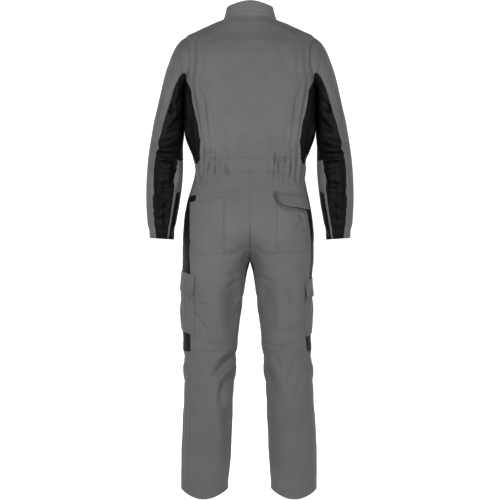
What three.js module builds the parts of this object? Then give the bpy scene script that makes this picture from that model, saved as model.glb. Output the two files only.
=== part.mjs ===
// Boiler suit in two colours, men's size L, hollow and filled out as it is worn.
// Millimetres, +Z up. +X is the wearer's right and +Y the way the wearer faces.
// Heights in the tables count up from the floor. The finished group is lowered by
// NECK_HEIGHT, so that the origin lies at the neck, where the wearer holds the suit up.
import * as THREE from 'three';

// Driving sizes
const NECK_HEIGHT = 1534;
const CLOTH = 1.2;
const SEAM_GAP = 0.3;
const LAY_GAP = 0.9;
const CROTCH_HEIGHT = 758;
const SEAT_BLEND = 118;
const KNEE_SEAM = 476;
const WAIST_TOP = 1086;
const WAIST_SIDE_DROP = 16;
const WAIST_BOTTOM_CENTRE = 1043;
const WAIST_BOTTOM_SIDE = 1030;
const YOKE_SEAM_CENTRE = 985;
const YOKE_SEAM_SIDE = 970;
const HEM_LOW = 12;
const HEM_RISE = 25;
const NECKLINE_BACK = 1541;
const NECKLINE_FRONT = 1462;
const COLLAR_TOP_BACK = 1588;
const COLLAR_TOP_SIDE = 1571;
const COLLAR_TOP_FRONT = 1503;
const COLLAR_HALF_WIDTH = 75;
const COLLAR_BACK = 56;
const COLLAR_FRONT = 94;
const COLLAR_POWER = 2.4;
const ARMHOLE_MIDDLE = 1391;
const ARMHOLE_HALF = 87;
const ARMHOLE_BACK_ANGLE = 24;
const ARMHOLE_FRONT_ANGLE = 27;
const ARMHOLE_LOW_POWER = 1.6;
const ARMHOLE_GAP = 0.8;
const SHOULDER_SEAM_ANGLE = 85;
const SIDE_PANEL_PEAK = 1336;
const SLEEVE_FRONT_SEAM = 215;
const CUFF_ROW = 18;
const ELBOW_ROW = 12.2;
const ZIP_BOTTOM = 805;
const ZIP_HALF_WIDTH = 3.1;
const ZIP_THICKNESS = 2.2;
const SEAT_LEVEL = 900;
const LEG_GAP_ANGLE = 0.09;
const HEM_FRONT_DROP = 6;

const GREY = 0x75777b;
const BLACK = 0x1f2023;
const METAL = 0x8d9095;

// Sections of the body: half widths to the left and right, depths behind and in front,
// and the power of the superellipse, 2 for an ellipse and more for a squarer section
const BODY_ROWS = [
  { height: 758, left: 216, right: 204, back: 138, front: 120, power: 2.2 },
  { height: 818, left: 215, right: 204, back: 149, front: 124, power: 2.25 },
  { height: 866, left: 212.5, right: 202, back: 152, front: 126, power: 2.3 },
  { height: 904, left: 210, right: 198.5, back: 147, front: 126, power: 2.3 },
  { height: 952, left: 201, right: 190.5, back: 134, front: 124, power: 2.3 },
  { height: 985, left: 191, right: 183.5, back: 123, front: 121, power: 2.3 },
  { height: 1030, left: 178.5, right: 177, back: 111, front: 117, power: 2.3 },
  { height: 1055, left: 176, right: 178.5, back: 107, front: 116, power: 2.3 },
  { height: 1086, left: 181, right: 181, back: 111, front: 120, power: 2.3 },
  { height: 1112, left: 190.5, right: 190.5, back: 120, front: 128, power: 2.35 },
  { height: 1144, left: 203, right: 203, back: 128, front: 136, power: 2.4 },
  { height: 1165, left: 208.5, right: 208.5, back: 132, front: 140, power: 2.45 },
  { height: 1220, left: 209.5, right: 209.5, back: 137, front: 146, power: 2.5 },
  { height: 1304, left: 209.5, right: 209.5, back: 139, front: 148, power: 2.7 },
  { height: 1400, left: 208.5, right: 208.5, back: 131, front: 138, power: 3 },
  { height: 1450, left: 207.5, right: 207.5, back: 115, front: 116, power: 2.95 },
  { height: 1478, left: 202, right: 202, back: 99, front: 101, power: 2.7 },
  { height: 1490, left: 180, right: 180, back: 93, front: 95, power: 2.5 },
  { height: 1502, left: 156, right: 156, back: 87, front: 89, power: 2.4 },
  { height: 1521.6, left: 113, right: 113, back: 76, front: 77, power: 2.25 },
  { height: 1534, left: 84, right: 84, back: 66, front: 72, power: 2.1 },
  { height: 1546, left: 80, right: 80, back: 62, front: 69, power: 2.05 },
];

// Sections of each leg: distances of its outer and inner side from the middle plane, of its
// centre, and its depths behind and in front of the line y = sway
const LEG_ROWS = {
  left: [
    { height: 12, outer: 219, inner: 72, centre: 146, back: 70, front: 69, sway: 0 },
    { height: 62, outer: 220.5, inner: 69.5, centre: 145, back: 71, front: 70, sway: -1 },
    { height: 107, outer: 219.8, inner: 64.6, centre: 142, back: 72, front: 71, sway: -2 },
    { height: 210, outer: 217, inner: 58, centre: 138, back: 75, front: 73, sway: -5 },
    { height: 312, outer: 212.8, inner: 53.8, centre: 134, back: 79, front: 76, sway: -4 },
    { height: 363, outer: 211, inner: 51, centre: 131, back: 80, front: 78, sway: 0 },
    { height: 440, outer: 211.5, inner: 44.8, centre: 128, back: 80, front: 82, sway: 4 },
    { height: 491, outer: 213.5, inner: 40.3, centre: 126, back: 82, front: 85, sway: 5 },
    { height: 542, outer: 215, inner: 35.5, centre: 124, back: 87, front: 88, sway: 4 },
    { height: 594, outer: 216, inner: 29, centre: 121, back: 94, front: 93, sway: 2 },
    { height: 645, outer: 216.5, inner: 22, centre: 117, back: 102, front: 98, sway: 0 },
    { height: 696, outer: 217, inner: 14, centre: 112, back: 110, front: 104, sway: 0 },
    { height: 728, outer: 217, inner: 8.5, centre: 109, back: 116, front: 108, sway: 0 },
    { height: 758, outer: 216, inner: 0.5, centre: 106, back: 123, front: 112, sway: 0 },
    { height: 800, outer: 215.5, inner: -2, centre: 106, back: 131, front: 115, sway: 0 },
    { height: 1100, outer: 215, inner: -2, centre: 106, back: 131, front: 115, sway: 0 },
  ],
  right: [
    { height: 12, outer: 212, inner: 68, centre: 140, back: 70, front: 69, sway: 0 },
    { height: 62, outer: 213.5, inner: 66.6, centre: 140, back: 71, front: 70, sway: -1 },
    { height: 107, outer: 214, inner: 63, centre: 138, back: 72, front: 71, sway: -2 },
    { height: 210, outer: 211, inner: 57.6, centre: 135, back: 75, front: 73, sway: -5 },
    { height: 312, outer: 205, inner: 52.5, centre: 130, back: 79, front: 76, sway: -4 },
    { height: 363, outer: 202, inner: 50.6, centre: 127, back: 80, front: 78, sway: 0 },
    { height: 440, outer: 197.5, inner: 44.2, centre: 121, back: 80, front: 82, sway: 4 },
    { height: 491, outer: 195, inner: 38.4, centre: 117, back: 82, front: 85, sway: 5 },
    { height: 542, outer: 195, inner: 34.9, centre: 115, back: 87, front: 88, sway: 4 },
    { height: 594, outer: 195.5, inner: 27.8, centre: 112, back: 94, front: 93, sway: 2 },
    { height: 645, outer: 196.5, inner: 21, centre: 110, back: 102, front: 98, sway: 0 },
    { height: 696, outer: 198, inner: 14, centre: 108, back: 110, front: 104, sway: 0 },
    { height: 728, outer: 200, inner: 8.5, centre: 107, back: 116, front: 108, sway: 0 },
    { height: 758, outer: 203.5, inner: 0.5, centre: 106, back: 123, front: 112, sway: 0 },
    { height: 800, outer: 204, inner: -2, centre: 106, back: 131, front: 115, sway: 0 },
    { height: 1100, outer: 204, inner: -2, centre: 106, back: 131, front: 115, sway: 0 },
  ],
};

// Rings of a sleeve from the armhole to the cuff: the outer and inner end of each ring in the
// front view, its half depth and how far forward its middle lies
const SLEEVE_ROWS = [
  { row: 0, outerX: 202, outerZ: 1478, innerX: 209.5, innerZ: 1304, depth: 80, forward: 2 },
  { row: 1, outerX: 221, outerZ: 1465, innerX: 210.2, innerZ: 1302.4, depth: 82, forward: 3 },
  { row: 2, outerX: 237, outerZ: 1446, innerX: 210.4, innerZ: 1300.6, depth: 84, forward: 6 },
  { row: 3, outerX: 248.2, outerZ: 1426, innerX: 210.4, innerZ: 1298, depth: 85, forward: 10 },
  { row: 4, outerX: 257.3, outerZ: 1403, innerX: 210.3, innerZ: 1294, depth: 85, forward: 13 },
  { row: 5, outerX: 270, outerZ: 1368, innerX: 210, innerZ: 1287, depth: 84, forward: 18 },
  { row: 6, outerX: 280.4, outerZ: 1330, innerX: 209.9, innerZ: 1276, depth: 83, forward: 22 },
  { row: 7, outerX: 289.4, outerZ: 1291, innerX: 209.9, innerZ: 1259, depth: 81, forward: 24 },
  { row: 8, outerX: 298.4, outerZ: 1252, innerX: 209.9, innerZ: 1234, depth: 79, forward: 24 },
  { row: 9, outerX: 307.4, outerZ: 1214, innerX: 210.2, innerZ: 1204, depth: 76, forward: 24 },
  { row: 10, outerX: 314.8, outerZ: 1176, innerX: 211.2, innerZ: 1170, depth: 73, forward: 23 },
  { row: 11, outerX: 321.2, outerZ: 1136, innerX: 214.5, innerZ: 1133, depth: 70, forward: 21 },
  { row: 12, outerX: 327, outerZ: 1093, innerX: 214.5, innerZ: 1091, depth: 67, forward: 18 },
  { row: 13, outerX: 330.8, outerZ: 1050, innerX: 215, innerZ: 1048, depth: 65, forward: 17 },
  { row: 14, outerX: 333.4, outerZ: 1000, innerX: 219, innerZ: 998, depth: 62, forward: 18 },
  { row: 15, outerX: 333.8, outerZ: 950, innerX: 226, innerZ: 948, depth: 57, forward: 21 },
  { row: 16, outerX: 332, outerZ: 910, innerX: 233.5, innerZ: 908, depth: 52, forward: 25 },
  { row: 17, outerX: 328.5, outerZ: 873, innerX: 240.5, innerZ: 869, depth: 46, forward: 28 },
  { row: 18, outerX: 322, outerZ: 836, innerX: 247, innerZ: 831, depth: 40, forward: 34 },
];

// Angles of the torso's side seams from the middle of the back
const TORSO_SEAMS = [
  { height: 1060, behind: 71, before: 106 },
  { height: 1086, behind: 69.5, before: 107 },
  { height: 1112, behind: 64.3, before: 109 },
  { height: 1150, behind: 59.6, before: 112 },
  { height: 1189, behind: 58.9, before: 114 },
  { height: 1227, behind: 61.7, before: 115 },
  { height: 1265, behind: 63.3, before: 114 },
  { height: 1300, behind: 64.6, before: 112 },
  { height: 1318, behind: 68.6, before: 109.5 },
  { height: 1336, behind: 74, before: 108 },
];

// Distance of the dark panel's back seam from the middle plane, and the angle of its front
// seam round the leg, where 180 degrees is the outer side
const LEG_SEAMS = {
  left: [
    { height: 12, behind: 190, before: 204 },
    { height: 210, behind: 192, before: 206 },
    { height: 474, behind: 189, before: 210 },
    { height: 545, behind: 189, before: 212 },
    { height: 640, behind: 187.5, before: 214 },
    { height: 728, behind: 188, before: 216 },
    { height: 793, behind: 191.5, before: 218 },
    { height: 818, behind: 190, before: 219 },
    { height: 930, behind: 177, before: 219 },
    { height: 970, behind: 169.5, before: 219 },
    { height: 1100, behind: 169.5, before: 219 },
  ],
  right: [
    { height: 12, behind: 196, before: 212 },
    { height: 210, behind: 193, before: 214 },
    { height: 474, behind: 180.5, before: 220 },
    { height: 545, behind: 176, before: 222 },
    { height: 640, behind: 181, before: 223 },
    { height: 728, behind: 189.5, before: 224 },
    { height: 793, behind: 192.5, before: 225 },
    { height: 872, behind: 187, before: 225 },
    { height: 930, behind: 179, before: 225 },
    { height: 970, behind: 173, before: 225 },
    { height: 1100, behind: 173, before: 225 },
  ],
};

// Seams that run down a sleeve, as angles round it: 0 outside, 90 behind, 180 inside
const SLEEVE_SEAMS = [
  { row: 0, behind: 126, strip: 137 },
  { row: 0.6, behind: 117, strip: 137 },
  { row: 1.4, behind: 108.5, strip: 137 },
  { row: 2.6, behind: 108.5, strip: 137 },
  { row: 4, behind: 106, strip: 137 },
  { row: 5.4, behind: 100, strip: 137 },
  { row: 7, behind: 89.5, strip: 137 },
  { row: 8.2, behind: 82.5, strip: 137 },
  { row: 10.2, behind: 68.8, strip: 137 },
  { row: 12.2, behind: 57.5, strip: 137 },
  { row: 14, behind: 54, strip: 130 },
  { row: 16, behind: 60, strip: 126 },
  { row: 18, behind: 67, strip: 121 },
];
const WEDGE_TOP_ROW = 14.05;
const WEDGE_CORNER_ROW = 14.35;
const WEDGE_CORNER_ANGLE = 141;

// Largest folds behind: soft ridges (depth above 0) and troughs, from one end to the other
const BACK_FOLDS = [
  { x0: -118, z0: 1300, x1: -140, z1: 1110, width: 13, depth: -5 },
  { x0: -102, z0: 1290, x1: -122, z1: 1105, width: 12, depth: 4 },
  { x0: 120, z0: 1320, x1: 142, z1: 1112, width: 13, depth: -5 },
  { x0: 103, z0: 1300, x1: 124, z1: 1108, width: 12, depth: 4 },
  { x0: -165, z0: 1390, x1: -150, z1: 1250, width: 14, depth: -4 },
  { x0: 165, z0: 1395, x1: 152, z1: 1240, width: 14, depth: -4 },
  { x0: -46, z0: 372, x1: -128, z1: 492, width: 13, depth: -5 },
  { x0: -52, z0: 330, x1: -104, z1: 210, width: 14, depth: -5 },
  { x0: -44, z0: 472, x1: -122, z1: 384, width: 13, depth: -6 },
  { x0: 168, z0: 470, x1: 112, z1: 355, width: 14, depth: -5 },
  { x0: -186, z0: 610, x1: -130, z1: 520, width: 15, depth: -4 },
  { x0: -34, z0: 690, x1: -70, z1: 660, width: 10, depth: -4 },
  { x0: 52, z0: 470, x1: 96, z1: 400, width: 13, depth: -4 },
];
const FRONT_FOLDS = [
  { x0: -130, z0: 1310, x1: -112, z1: 1120, width: 14, depth: -4 },
  { x0: 126, z0: 1290, x1: 114, z1: 1115, width: 14, depth: -4 },
  { x0: -60, z0: 800, x1: -150, z1: 860, width: 14, depth: -4 },
  { x0: 58, z0: 802, x1: 140, z1: 870, width: 14, depth: -4 },
  { x0: -60, z0: 500, x1: -160, z1: 445, width: 14, depth: -4 },
  { x0: 60, z0: 492, x1: 150, z1: 440, width: 14, depth: -4 },
];
// Gathers in the waist casing, by their distance from the middle of the back
const GATHERS = {
  left: [46, 62, 76, 89, 103, 117, 132, 147],
  right: [48, 62, 76, 92, 107, 119, 133, 147],
};
const GATHER_DEPTH = 2.4;
const GATHER_WIDTH = 5;

// Helpers
const RAD = Math.PI / 180;
const mix = (from, to, share) => from + (to - from) * share;
const clamp = (value) => Math.min(1, Math.max(0, value));
const spread = (count) => Array.from({ length: count + 1 }, (_, index) => index / count);

function smooth(start, end, value) {
  const share = clamp((value - start) / (end - start));
  return share * share * (3 - 2 * share);
}

// One row of a table at any place between its rows, each column a smooth curve
function rowAt(rows, key, place) {
  let index = 0;
  while (index < rows.length - 2 && place > rows[index + 1][key]) index += 1;
  const low = rows[index];
  const high = rows[index + 1];
  const before = rows[Math.max(index - 1, 0)];
  const after = rows[Math.min(index + 2, rows.length - 1)];
  const span = high[key] - low[key];
  const t = clamp((place - low[key]) / span);
  const result = {};
  for (const column of Object.keys(low)) {
    const slopeLow = (high[column] - before[column]) / (high[key] - before[key]) * span;
    const slopeHigh = (after[column] - low[column]) / (after[key] - low[key]) * span;
    result[column] = low[column] * (2 * t ** 3 - 3 * t ** 2 + 1)
      + slopeLow * (t ** 3 - 2 * t ** 2 + t)
      + high[column] * (3 * t ** 2 - 2 * t ** 3)
      + slopeHigh * (t ** 3 - t ** 2);
  }
  return result;
}

// The place between low and high where a rising measure reaches its goal
function solve(measure, low, high, goal) {
  let start = low;
  let end = high;
  for (let step = 0; step < 40; step += 1) {
    const middle = (start + end) / 2;
    if (measure(middle) < goal) start = middle;
    else end = middle;
  }
  return (start + end) / 2;
}

// Height of the relief at a point seen from behind or from in front
function relief(folds, x, z) {
  let total = 0;
  for (const fold of folds) {
    const alongX = fold.x1 - fold.x0;
    const alongZ = fold.z1 - fold.z0;
    const length = Math.hypot(alongX, alongZ);
    const along = ((x - fold.x0) * alongX + (z - fold.z0) * alongZ) / length ** 2;
    if (along <= 0 || along >= 1) continue;
    const across = ((x - fold.x0) * alongZ - (z - fold.z0) * alongX) / length;
    total += fold.depth * Math.exp(-((across / fold.width) ** 2)) * Math.sin(Math.PI * along);
  }
  return total;
}

function foldedOut(x, y, z, centreX, centreY) {
  const share = smooth(8, 40, Math.abs(y - centreY));
  const height = share * relief(y < centreY ? BACK_FOLDS : FRONT_FOLDS, x, z);
  const reach = Math.hypot(x - centreX, y - centreY);
  return new THREE.Vector3(
    x + (x - centreX) / reach * height, y + (y - centreY) / reach * height, z);
}

// Surface of the body: angle from the middle of the back, positive to the wearer's right
function body(angle, z) {
  const row = rowAt(BODY_ROWS, 'height', z);
  const sine = Math.sin(angle * RAD);
  const cosine = Math.cos(angle * RAD);
  const halfX = sine < 0 ? row.left : row.right;
  const halfY = cosine > 0 ? row.back : row.front;
  const radius = ((Math.abs(sine) / halfX) ** row.power
    + (Math.abs(cosine) / halfY) ** row.power) ** (-1 / row.power);
  return foldedOut(sine * radius, -cosine * radius, z, 0, 0);
}
body.axis = (angle, z) => new THREE.Vector3(0, 0, z);

// Distance from a leg's centre to the body's section, along a direction
function bodyReach(row, side, centre, alongX, alongY) {
  const inside = (reach) => {
    const x = centre + alongX * reach;
    const y = alongY * reach;
    const half = x < 0 ? (row.left + row.right) / 2 : row[side];
    return (Math.abs(x) / half) ** row.power
      + (Math.abs(y) / (y < 0 ? row.back : row.front)) ** row.power;
  };
  return solve(inside, 0, 500, 1);
}

// Surface of a trouser half: the angle round the leg is 0 at the inseam, 90 behind, 180 at
// the outer side and 270 in front. Above the crotch it turns into the body's section.
function legSurface(side) {
  const sign = side === 'left' ? -1 : 1;
  const surface = (angle, z) => {
    const row = rowAt(LEG_ROWS[side], 'height', z);
    const alongX = -Math.cos(angle * RAD);
    const alongY = -Math.sin(angle * RAD);
    const halfX = alongX < 0 ? row.centre - row.inner : row.outer - row.centre;
    const halfY = alongY < 0 ? row.back : row.front;
    let reach = 1 / Math.hypot(alongX / halfX, alongY / halfY);
    const share = smooth(CROTCH_HEIGHT - 2, CROTCH_HEIGHT + SEAT_BLEND, z);
    if (share > 0) {
      const section = rowAt(BODY_ROWS, 'height', z);
      reach = mix(reach, bodyReach(section, side, row.centre, alongX, alongY), share);
    }
    const x = sign * (row.centre + alongX * reach);
    return foldedOut(x, row.sway + alongY * reach, z, sign * row.centre, row.sway);
  };
  surface.axis = (angle, z) => {
    const row = rowAt(LEG_ROWS[side], 'height', z);
    return new THREE.Vector3(sign * row.centre, row.sway, z);
  };
  surface.side = side;
  surface.sign = sign;
  return surface;
}

// Angle of the armhole's edge on the body at an angle round the armhole, 0 at the top and 90
// behind
function armholeAngle(around) {
  const sine = Math.sin(around * RAD);
  const power = Math.cos(around * RAD) < 0 ? ARMHOLE_LOW_POWER : 1;
  if (sine >= 0) return 90 - ARMHOLE_BACK_ANGLE * sine ** power;
  return 90 + ARMHOLE_FRONT_ANGLE * (-sine) ** power;
}
const armholeHeight = (around) => ARMHOLE_MIDDLE + ARMHOLE_HALF * Math.cos(around * RAD);

function armholeAround(height) {
  return Math.acos(clamp((height - ARMHOLE_MIDDLE) / ARMHOLE_HALF / 2 + 0.5) * 2 - 1) / RAD;
}

// Surface of a sleeve: angle round it, 0 outside, 90 behind, 180 inside, and the ring's row
function sleeveSurface(sign) {
  const ring = (around, place) => {
    const row = rowAt(SLEEVE_ROWS, 'row', place);
    const share = Math.cos(around * RAD);
    return new THREE.Vector3(
      sign * ((row.outerX + row.innerX) / 2 + (row.outerX - row.innerX) / 2 * share),
      row.forward - row.depth * Math.sin(around * RAD),
      (row.outerZ + row.innerZ) / 2 + (row.outerZ - row.innerZ) / 2 * share);
  };
  const surface = (around, place) => {
    const point = ring(around, place);
    const left = 1 - smooth(0, 3.5, place);
    if (left > 0) {
      const edge = body(sign * armholeAngle(around), armholeHeight(around));
      edge.x += sign * ARMHOLE_GAP;
      point.addScaledVector(edge.sub(ring(around, 0)), left);
    }
    return point;
  };
  surface.axis = (around, place) => {
    const row = rowAt(SLEEVE_ROWS, 'row', place);
    return new THREE.Vector3(
      sign * (row.outerX + row.innerX) / 2, row.forward, (row.outerZ + row.innerZ) / 2);
  };
  surface.sign = sign;
  return surface;
}

// Height of the neckline and of the collar's top at an angle from the middle of the back
function necklineHeight(angle) {
  const turn = Math.abs(angle);
  if (turn < 90) return mix(NECK_HEIGHT, NECKLINE_BACK, Math.cos(turn * RAD) ** 0.7);
  return mix(NECK_HEIGHT, NECKLINE_FRONT, ((turn - 90) / 90) ** 2);
}

function collarTopHeight(angle) {
  const turn = Math.abs(angle);
  if (turn < 90) return mix(COLLAR_TOP_SIDE, COLLAR_TOP_BACK, Math.cos(turn * RAD) ** 2);
  return mix(COLLAR_TOP_SIDE, COLLAR_TOP_FRONT, ((turn - 90) / 90) ** 2);
}

// Surface of the collar: angle from the middle of the back, and the share of its height
function collarSurface(angle, share) {
  const foot = body(angle, necklineHeight(angle));
  const sine = Math.sin(angle * RAD);
  const cosine = Math.cos(angle * RAD);
  const halfY = cosine > 0 ? COLLAR_BACK : COLLAR_FRONT;
  const radius = ((Math.abs(sine) / COLLAR_HALF_WIDTH) ** COLLAR_POWER
    + (Math.abs(cosine) / halfY) ** COLLAR_POWER) ** (-1 / COLLAR_POWER);
  const top = new THREE.Vector3(sine * radius, -cosine * radius, collarTopHeight(angle));
  return foot.lerp(top, share);
}
collarSurface.axis = (angle, share) => {
  const height = mix(necklineHeight(angle), collarTopHeight(angle), share);
  return new THREE.Vector3(0, 12, height);
};

// A point of a surface with its outward normal
function sample(surface, u, v, stepU = 0.2, stepV = 0.4) {
  const point = surface(u, v);
  const alongU = surface(u + stepU, v).sub(surface(u - stepU, v));
  const alongV = surface(u, v + stepV).sub(surface(u, v - stepV));
  const normal = alongU.cross(alongV).normalize();
  if (normal.dot(point.clone().sub(surface.axis(u, v))) < 0) normal.negate();
  return { point, normal };
}

const suit = new THREE.Group();

function addMesh(name, colour, positions, triangles, parent = suit) {
  let volume = 0;
  const corner = (index) => new THREE.Vector3().fromArray(positions, index * 3);
  for (let index = 0; index < triangles.length; index += 3) {
    const [a, b, c] = [0, 1, 2].map((offset) => corner(triangles[index + offset]));
    volume += a.dot(b.cross(c));
  }
  const faces = volume < 0 ? triangles.slice().reverse() : triangles;
  const geometry = new THREE.BufferGeometry();
  geometry.setAttribute('position', new THREE.Float32BufferAttribute(positions, 3));
  geometry.setIndex(faces);
  geometry.computeVertexNormals();
  const metal = colour === METAL;
  const material = new THREE.MeshStandardMaterial({
    color: colour, roughness: metal ? 0.35 : 0.85, metalness: metal ? 0.9 : 0 });
  const mesh = new THREE.Mesh(geometry, material);
  mesh.name = name;
  parent.add(mesh);
  return mesh;
}

// A wall of cloth: its outer face runs through the samples, or lies off them by the lift
function addWall(name, colour, grid, lift = () => 0, thickness = CLOTH) {
  const rows = grid.length;
  const columns = grid[0].length;
  const positions = [];
  for (const layer of [1, 0]) {
    grid.forEach((line, row) => line.forEach(({ point, normal }, column) => {
      const raised = lift(column / (columns - 1), row / (rows - 1));
      const offset = raised + (raised > 0 ? layer : layer - 1) * thickness;
      positions.push(...point.clone().addScaledVector(normal, offset).toArray());
    }));
  }
  const triangles = [];
  const quad = (a, b, c, d) => triangles.push(a, b, c, a, c, d);
  const at = (layer, row, column) => (layer * rows + row) * columns + column;
  for (let row = 0; row < rows - 1; row += 1) {
    for (let column = 0; column < columns - 1; column += 1) {
      quad(at(0, row, column), at(0, row, column + 1), at(0, row + 1, column + 1),
        at(0, row + 1, column));
      quad(at(1, row, column), at(1, row + 1, column), at(1, row + 1, column + 1),
        at(1, row, column + 1));
    }
  }
  for (let row = 0; row < rows - 1; row += 1) {
    quad(at(0, row, 0), at(0, row + 1, 0), at(1, row + 1, 0), at(1, row, 0));
    quad(at(0, row + 1, columns - 1), at(0, row, columns - 1), at(1, row, columns - 1),
      at(1, row + 1, columns - 1));
  }
  for (let column = 0; column < columns - 1; column += 1) {
    quad(at(0, 0, column + 1), at(0, 0, column), at(1, 0, column), at(1, 0, column + 1));
    quad(at(0, rows - 1, column), at(0, rows - 1, column + 1), at(1, rows - 1, column + 1),
      at(1, rows - 1, column));
  }
  return addMesh(name, colour, positions, triangles);
}

// Torso
const TORSO_BOTTOM = WAIST_TOP + SEAM_GAP / 2;
const SEAM_HEIGHTS = [TORSO_BOTTOM, 1106, 1130, 1156, 1192, 1230, 1266, 1300, 1318,
  SIDE_PANEL_PEAK];
const ARMHOLE_HEIGHTS = [1346, 1370, 1395, 1420, 1444, 1462, 1473];
const SHOULDER_HEIGHTS = [1481, 1492, 1504, 1516, 1526, NECK_HEIGHT];
const TORSO_HEIGHTS = [...SEAM_HEIGHTS, ...ARMHOLE_HEIGHTS, ...SHOULDER_HEIGHTS];
const HALF_GAP_ANGLE = 0.045;

// Height at any angle of the row that meets the panel's side edge at the given height
function rowHeight(height, angle, edge) {
  const reach = necklineHeight(edge) - SEAM_GAP / 2 - TORSO_BOTTOM;
  const share = height === NECK_HEIGHT ? 1 : (height - TORSO_BOTTOM) / reach;
  return mix(TORSO_BOTTOM, necklineHeight(angle) - SEAM_GAP / 2, share);
}

function backEdgeAngle(height) {
  if (height <= SIDE_PANEL_PEAK) {
    return rowAt(TORSO_SEAMS, 'height', height).behind - HALF_GAP_ANGLE;
  }
  const edge = armholeAngle(armholeAround(height));
  return Math.min(edge, SHOULDER_SEAM_ANGLE) - HALF_GAP_ANGLE;
}

function frontEdgeAngle(height) {
  if (height <= SIDE_PANEL_PEAK) {
    return rowAt(TORSO_SEAMS, 'height', height).before + HALF_GAP_ANGLE;
  }
  const top = SHOULDER_SEAM_ANGLE + HALF_GAP_ANGLE;
  if (height > ARMHOLE_MIDDLE + ARMHOLE_HALF) return top;
  return Math.max(armholeAngle(360 - armholeAround(height)), top);
}

function addBack() {
  const grid = TORSO_HEIGHTS.map((height) => spread(16).map((share) => {
    const edge = backEdgeAngle(height);
    const angle = mix(-1, 1, share) * edge;
    return sample(body, angle, rowHeight(height, angle, edge));
  }));
  addWall('back', GREY, grid);
}

// Angle at which the front edge stands clear of the zip
const zipEdgeAngle = (depth) => 180 - Math.atan((ZIP_HALF_WIDTH + SEAM_GAP) / depth) / RAD;

function addFront(side, sign) {
  const grid = TORSO_HEIGHTS.map((height) => spread(7).map((share) => {
    const edge = frontEdgeAngle(height);
    const depth = rowAt(BODY_ROWS, 'height', rowHeight(height, 180, edge)).front;
    const angle = mix(edge, zipEdgeAngle(depth), share);
    return sample(body, sign * angle, rowHeight(height, angle, edge));
  }));
  addWall(`front_${side}`, GREY, grid);
}

// Height of the waist seam, lower at the sides where the dark panels reach down
function waistTop(angle) {
  const turn = Math.abs(angle);
  const dip = smooth(70.5, 77, turn) - smooth(99, 105.5, turn);
  return WAIST_TOP - WAIST_SIDE_DROP * dip;
}
const WAIST_GAP = 0.35;
const waistBottom = (angle) => mix(WAIST_BOTTOM_CENTRE, WAIST_BOTTOM_SIDE,
  smooth(15, 60, Math.abs(angle)));

function addSide(side, sign) {
  const seamAngles = (height, share) => {
    const seams = rowAt(TORSO_SEAMS, 'height', height);
    return mix(seams.behind + HALF_GAP_ANGLE, seams.before - HALF_GAP_ANGLE, share);
  };
  // Height at which a column meets the lower arc of the armhole
  const peak = (share) => {
    if (share === 0 || share === 1) return SIDE_PANEL_PEAK;
    const above = (height) => {
      const angle = seamAngles(height, share);
      const around = armholeAround(height);
      const edge = angle < 90 ? armholeAngle(around) : armholeAngle(360 - around);
      return Math.abs(90 - angle) < Math.abs(90 - edge) ? 1 : 0;
    };
    return solve(above, ARMHOLE_MIDDLE - ARMHOLE_HALF, SIDE_PANEL_PEAK, 0.5);
  };
  const grid = SEAM_HEIGHTS.map((height) => SIDE_COLUMNS.map((share) => {
    const top = peak(share);
    const scale = (height - TORSO_BOTTOM) / (SIDE_PANEL_PEAK - TORSO_BOTTOM);
    const free = mix(TORSO_BOTTOM, top, scale);
    const bottom = waistTop(sideColumnAngles[SIDE_COLUMNS.indexOf(share)]) + SEAM_GAP;
    const z = free - (TORSO_BOTTOM - bottom) * (1 - smooth(0, 0.35, scale));
    return sample(body, sign * seamAngles(z, share), z);
  }));
  addWall(`side_${side}`, BLACK, grid);
}

function addCollar() {
  const shares = [0.012, 0.33, 0.67, 1];
  const edge = zipEdgeAngle(COLLAR_FRONT);
  const grid = shares.map((share) => spread(28).map((turn) => {
    const angle = mix(-edge, edge, turn);
    return sample(collarSurface, angle, share, 0.2, 0.01);
  }));
  addWall('collar', GREY, grid);
}

// Waist casing: flat in the middle and gathered at both sides
function gatherRelief(x) {
  const list = x < 0 ? GATHERS.left : GATHERS.right;
  const reach = Math.abs(x);
  return list.reduce((sum, place, index) => {
    const depth = GATHER_DEPTH * (0.75 + 0.25 * Math.cos(index * 2.1));
    return sum - depth * Math.exp(-(((reach - place) / GATHER_WIDTH) ** 2));
  }, 0);
}

function gatheredWaist(angle, z) {
  const point = body(angle, z);
  const share = (z - waistBottom(angle)) / (waistTop(angle) - waistBottom(angle));
  const height = gatherRelief(point.x) * Math.sin(Math.PI * mix(0.12, 0.88, clamp(share)));
  const reach = Math.hypot(point.x, point.y);
  point.x += point.x / reach * height;
  point.y += point.y / reach * height;
  return point;
}
gatheredWaist.axis = body.axis;

// The waist pieces share the dark panels' columns, so that their edges meet
const SIDE_COLUMNS = [0, 0.09, 0.21, 0.35, 0.5, 0.65, 0.79, 0.91, 1];
const waistSeams = rowAt(TORSO_SEAMS, 'height', WAIST_TOP);
const sideColumnAngles = SIDE_COLUMNS.map(
  (share) => mix(waistSeams.behind, waistSeams.before, share));
const SIDE_END = 89.95;
const behindSide = sideColumnAngles.filter((angle) => angle < SIDE_END - 5);
const beforeSide = sideColumnAngles.filter((angle) => angle > SIDE_END + 5);
const casingHalf = [...behindSide, SIDE_END];
const casingMiddle = spread(56).slice(1, -1).map(
  (share) => mix(-waistSeams.behind, waistSeams.behind, share));
const CASING_ANGLES = [...casingHalf.map((angle) => -angle).reverse(), ...casingMiddle,
  ...casingHalf];
const WAISTBAND_ANGLES = [180 - SIDE_END, ...beforeSide, 118, 132, 148, 164, zipEdgeAngle(116)];

function addWaist(name, surface, angles) {
  const grid = [0, 0.3, 0.7, 1].map((share) => angles.map((angle) => {
    const z = mix(waistBottom(angle) + WAIST_GAP, waistTop(angle) - SEAM_GAP / 2, share);
    return sample(surface, angle, z);
  }));
  addWall(name, GREY, grid);
}

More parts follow.
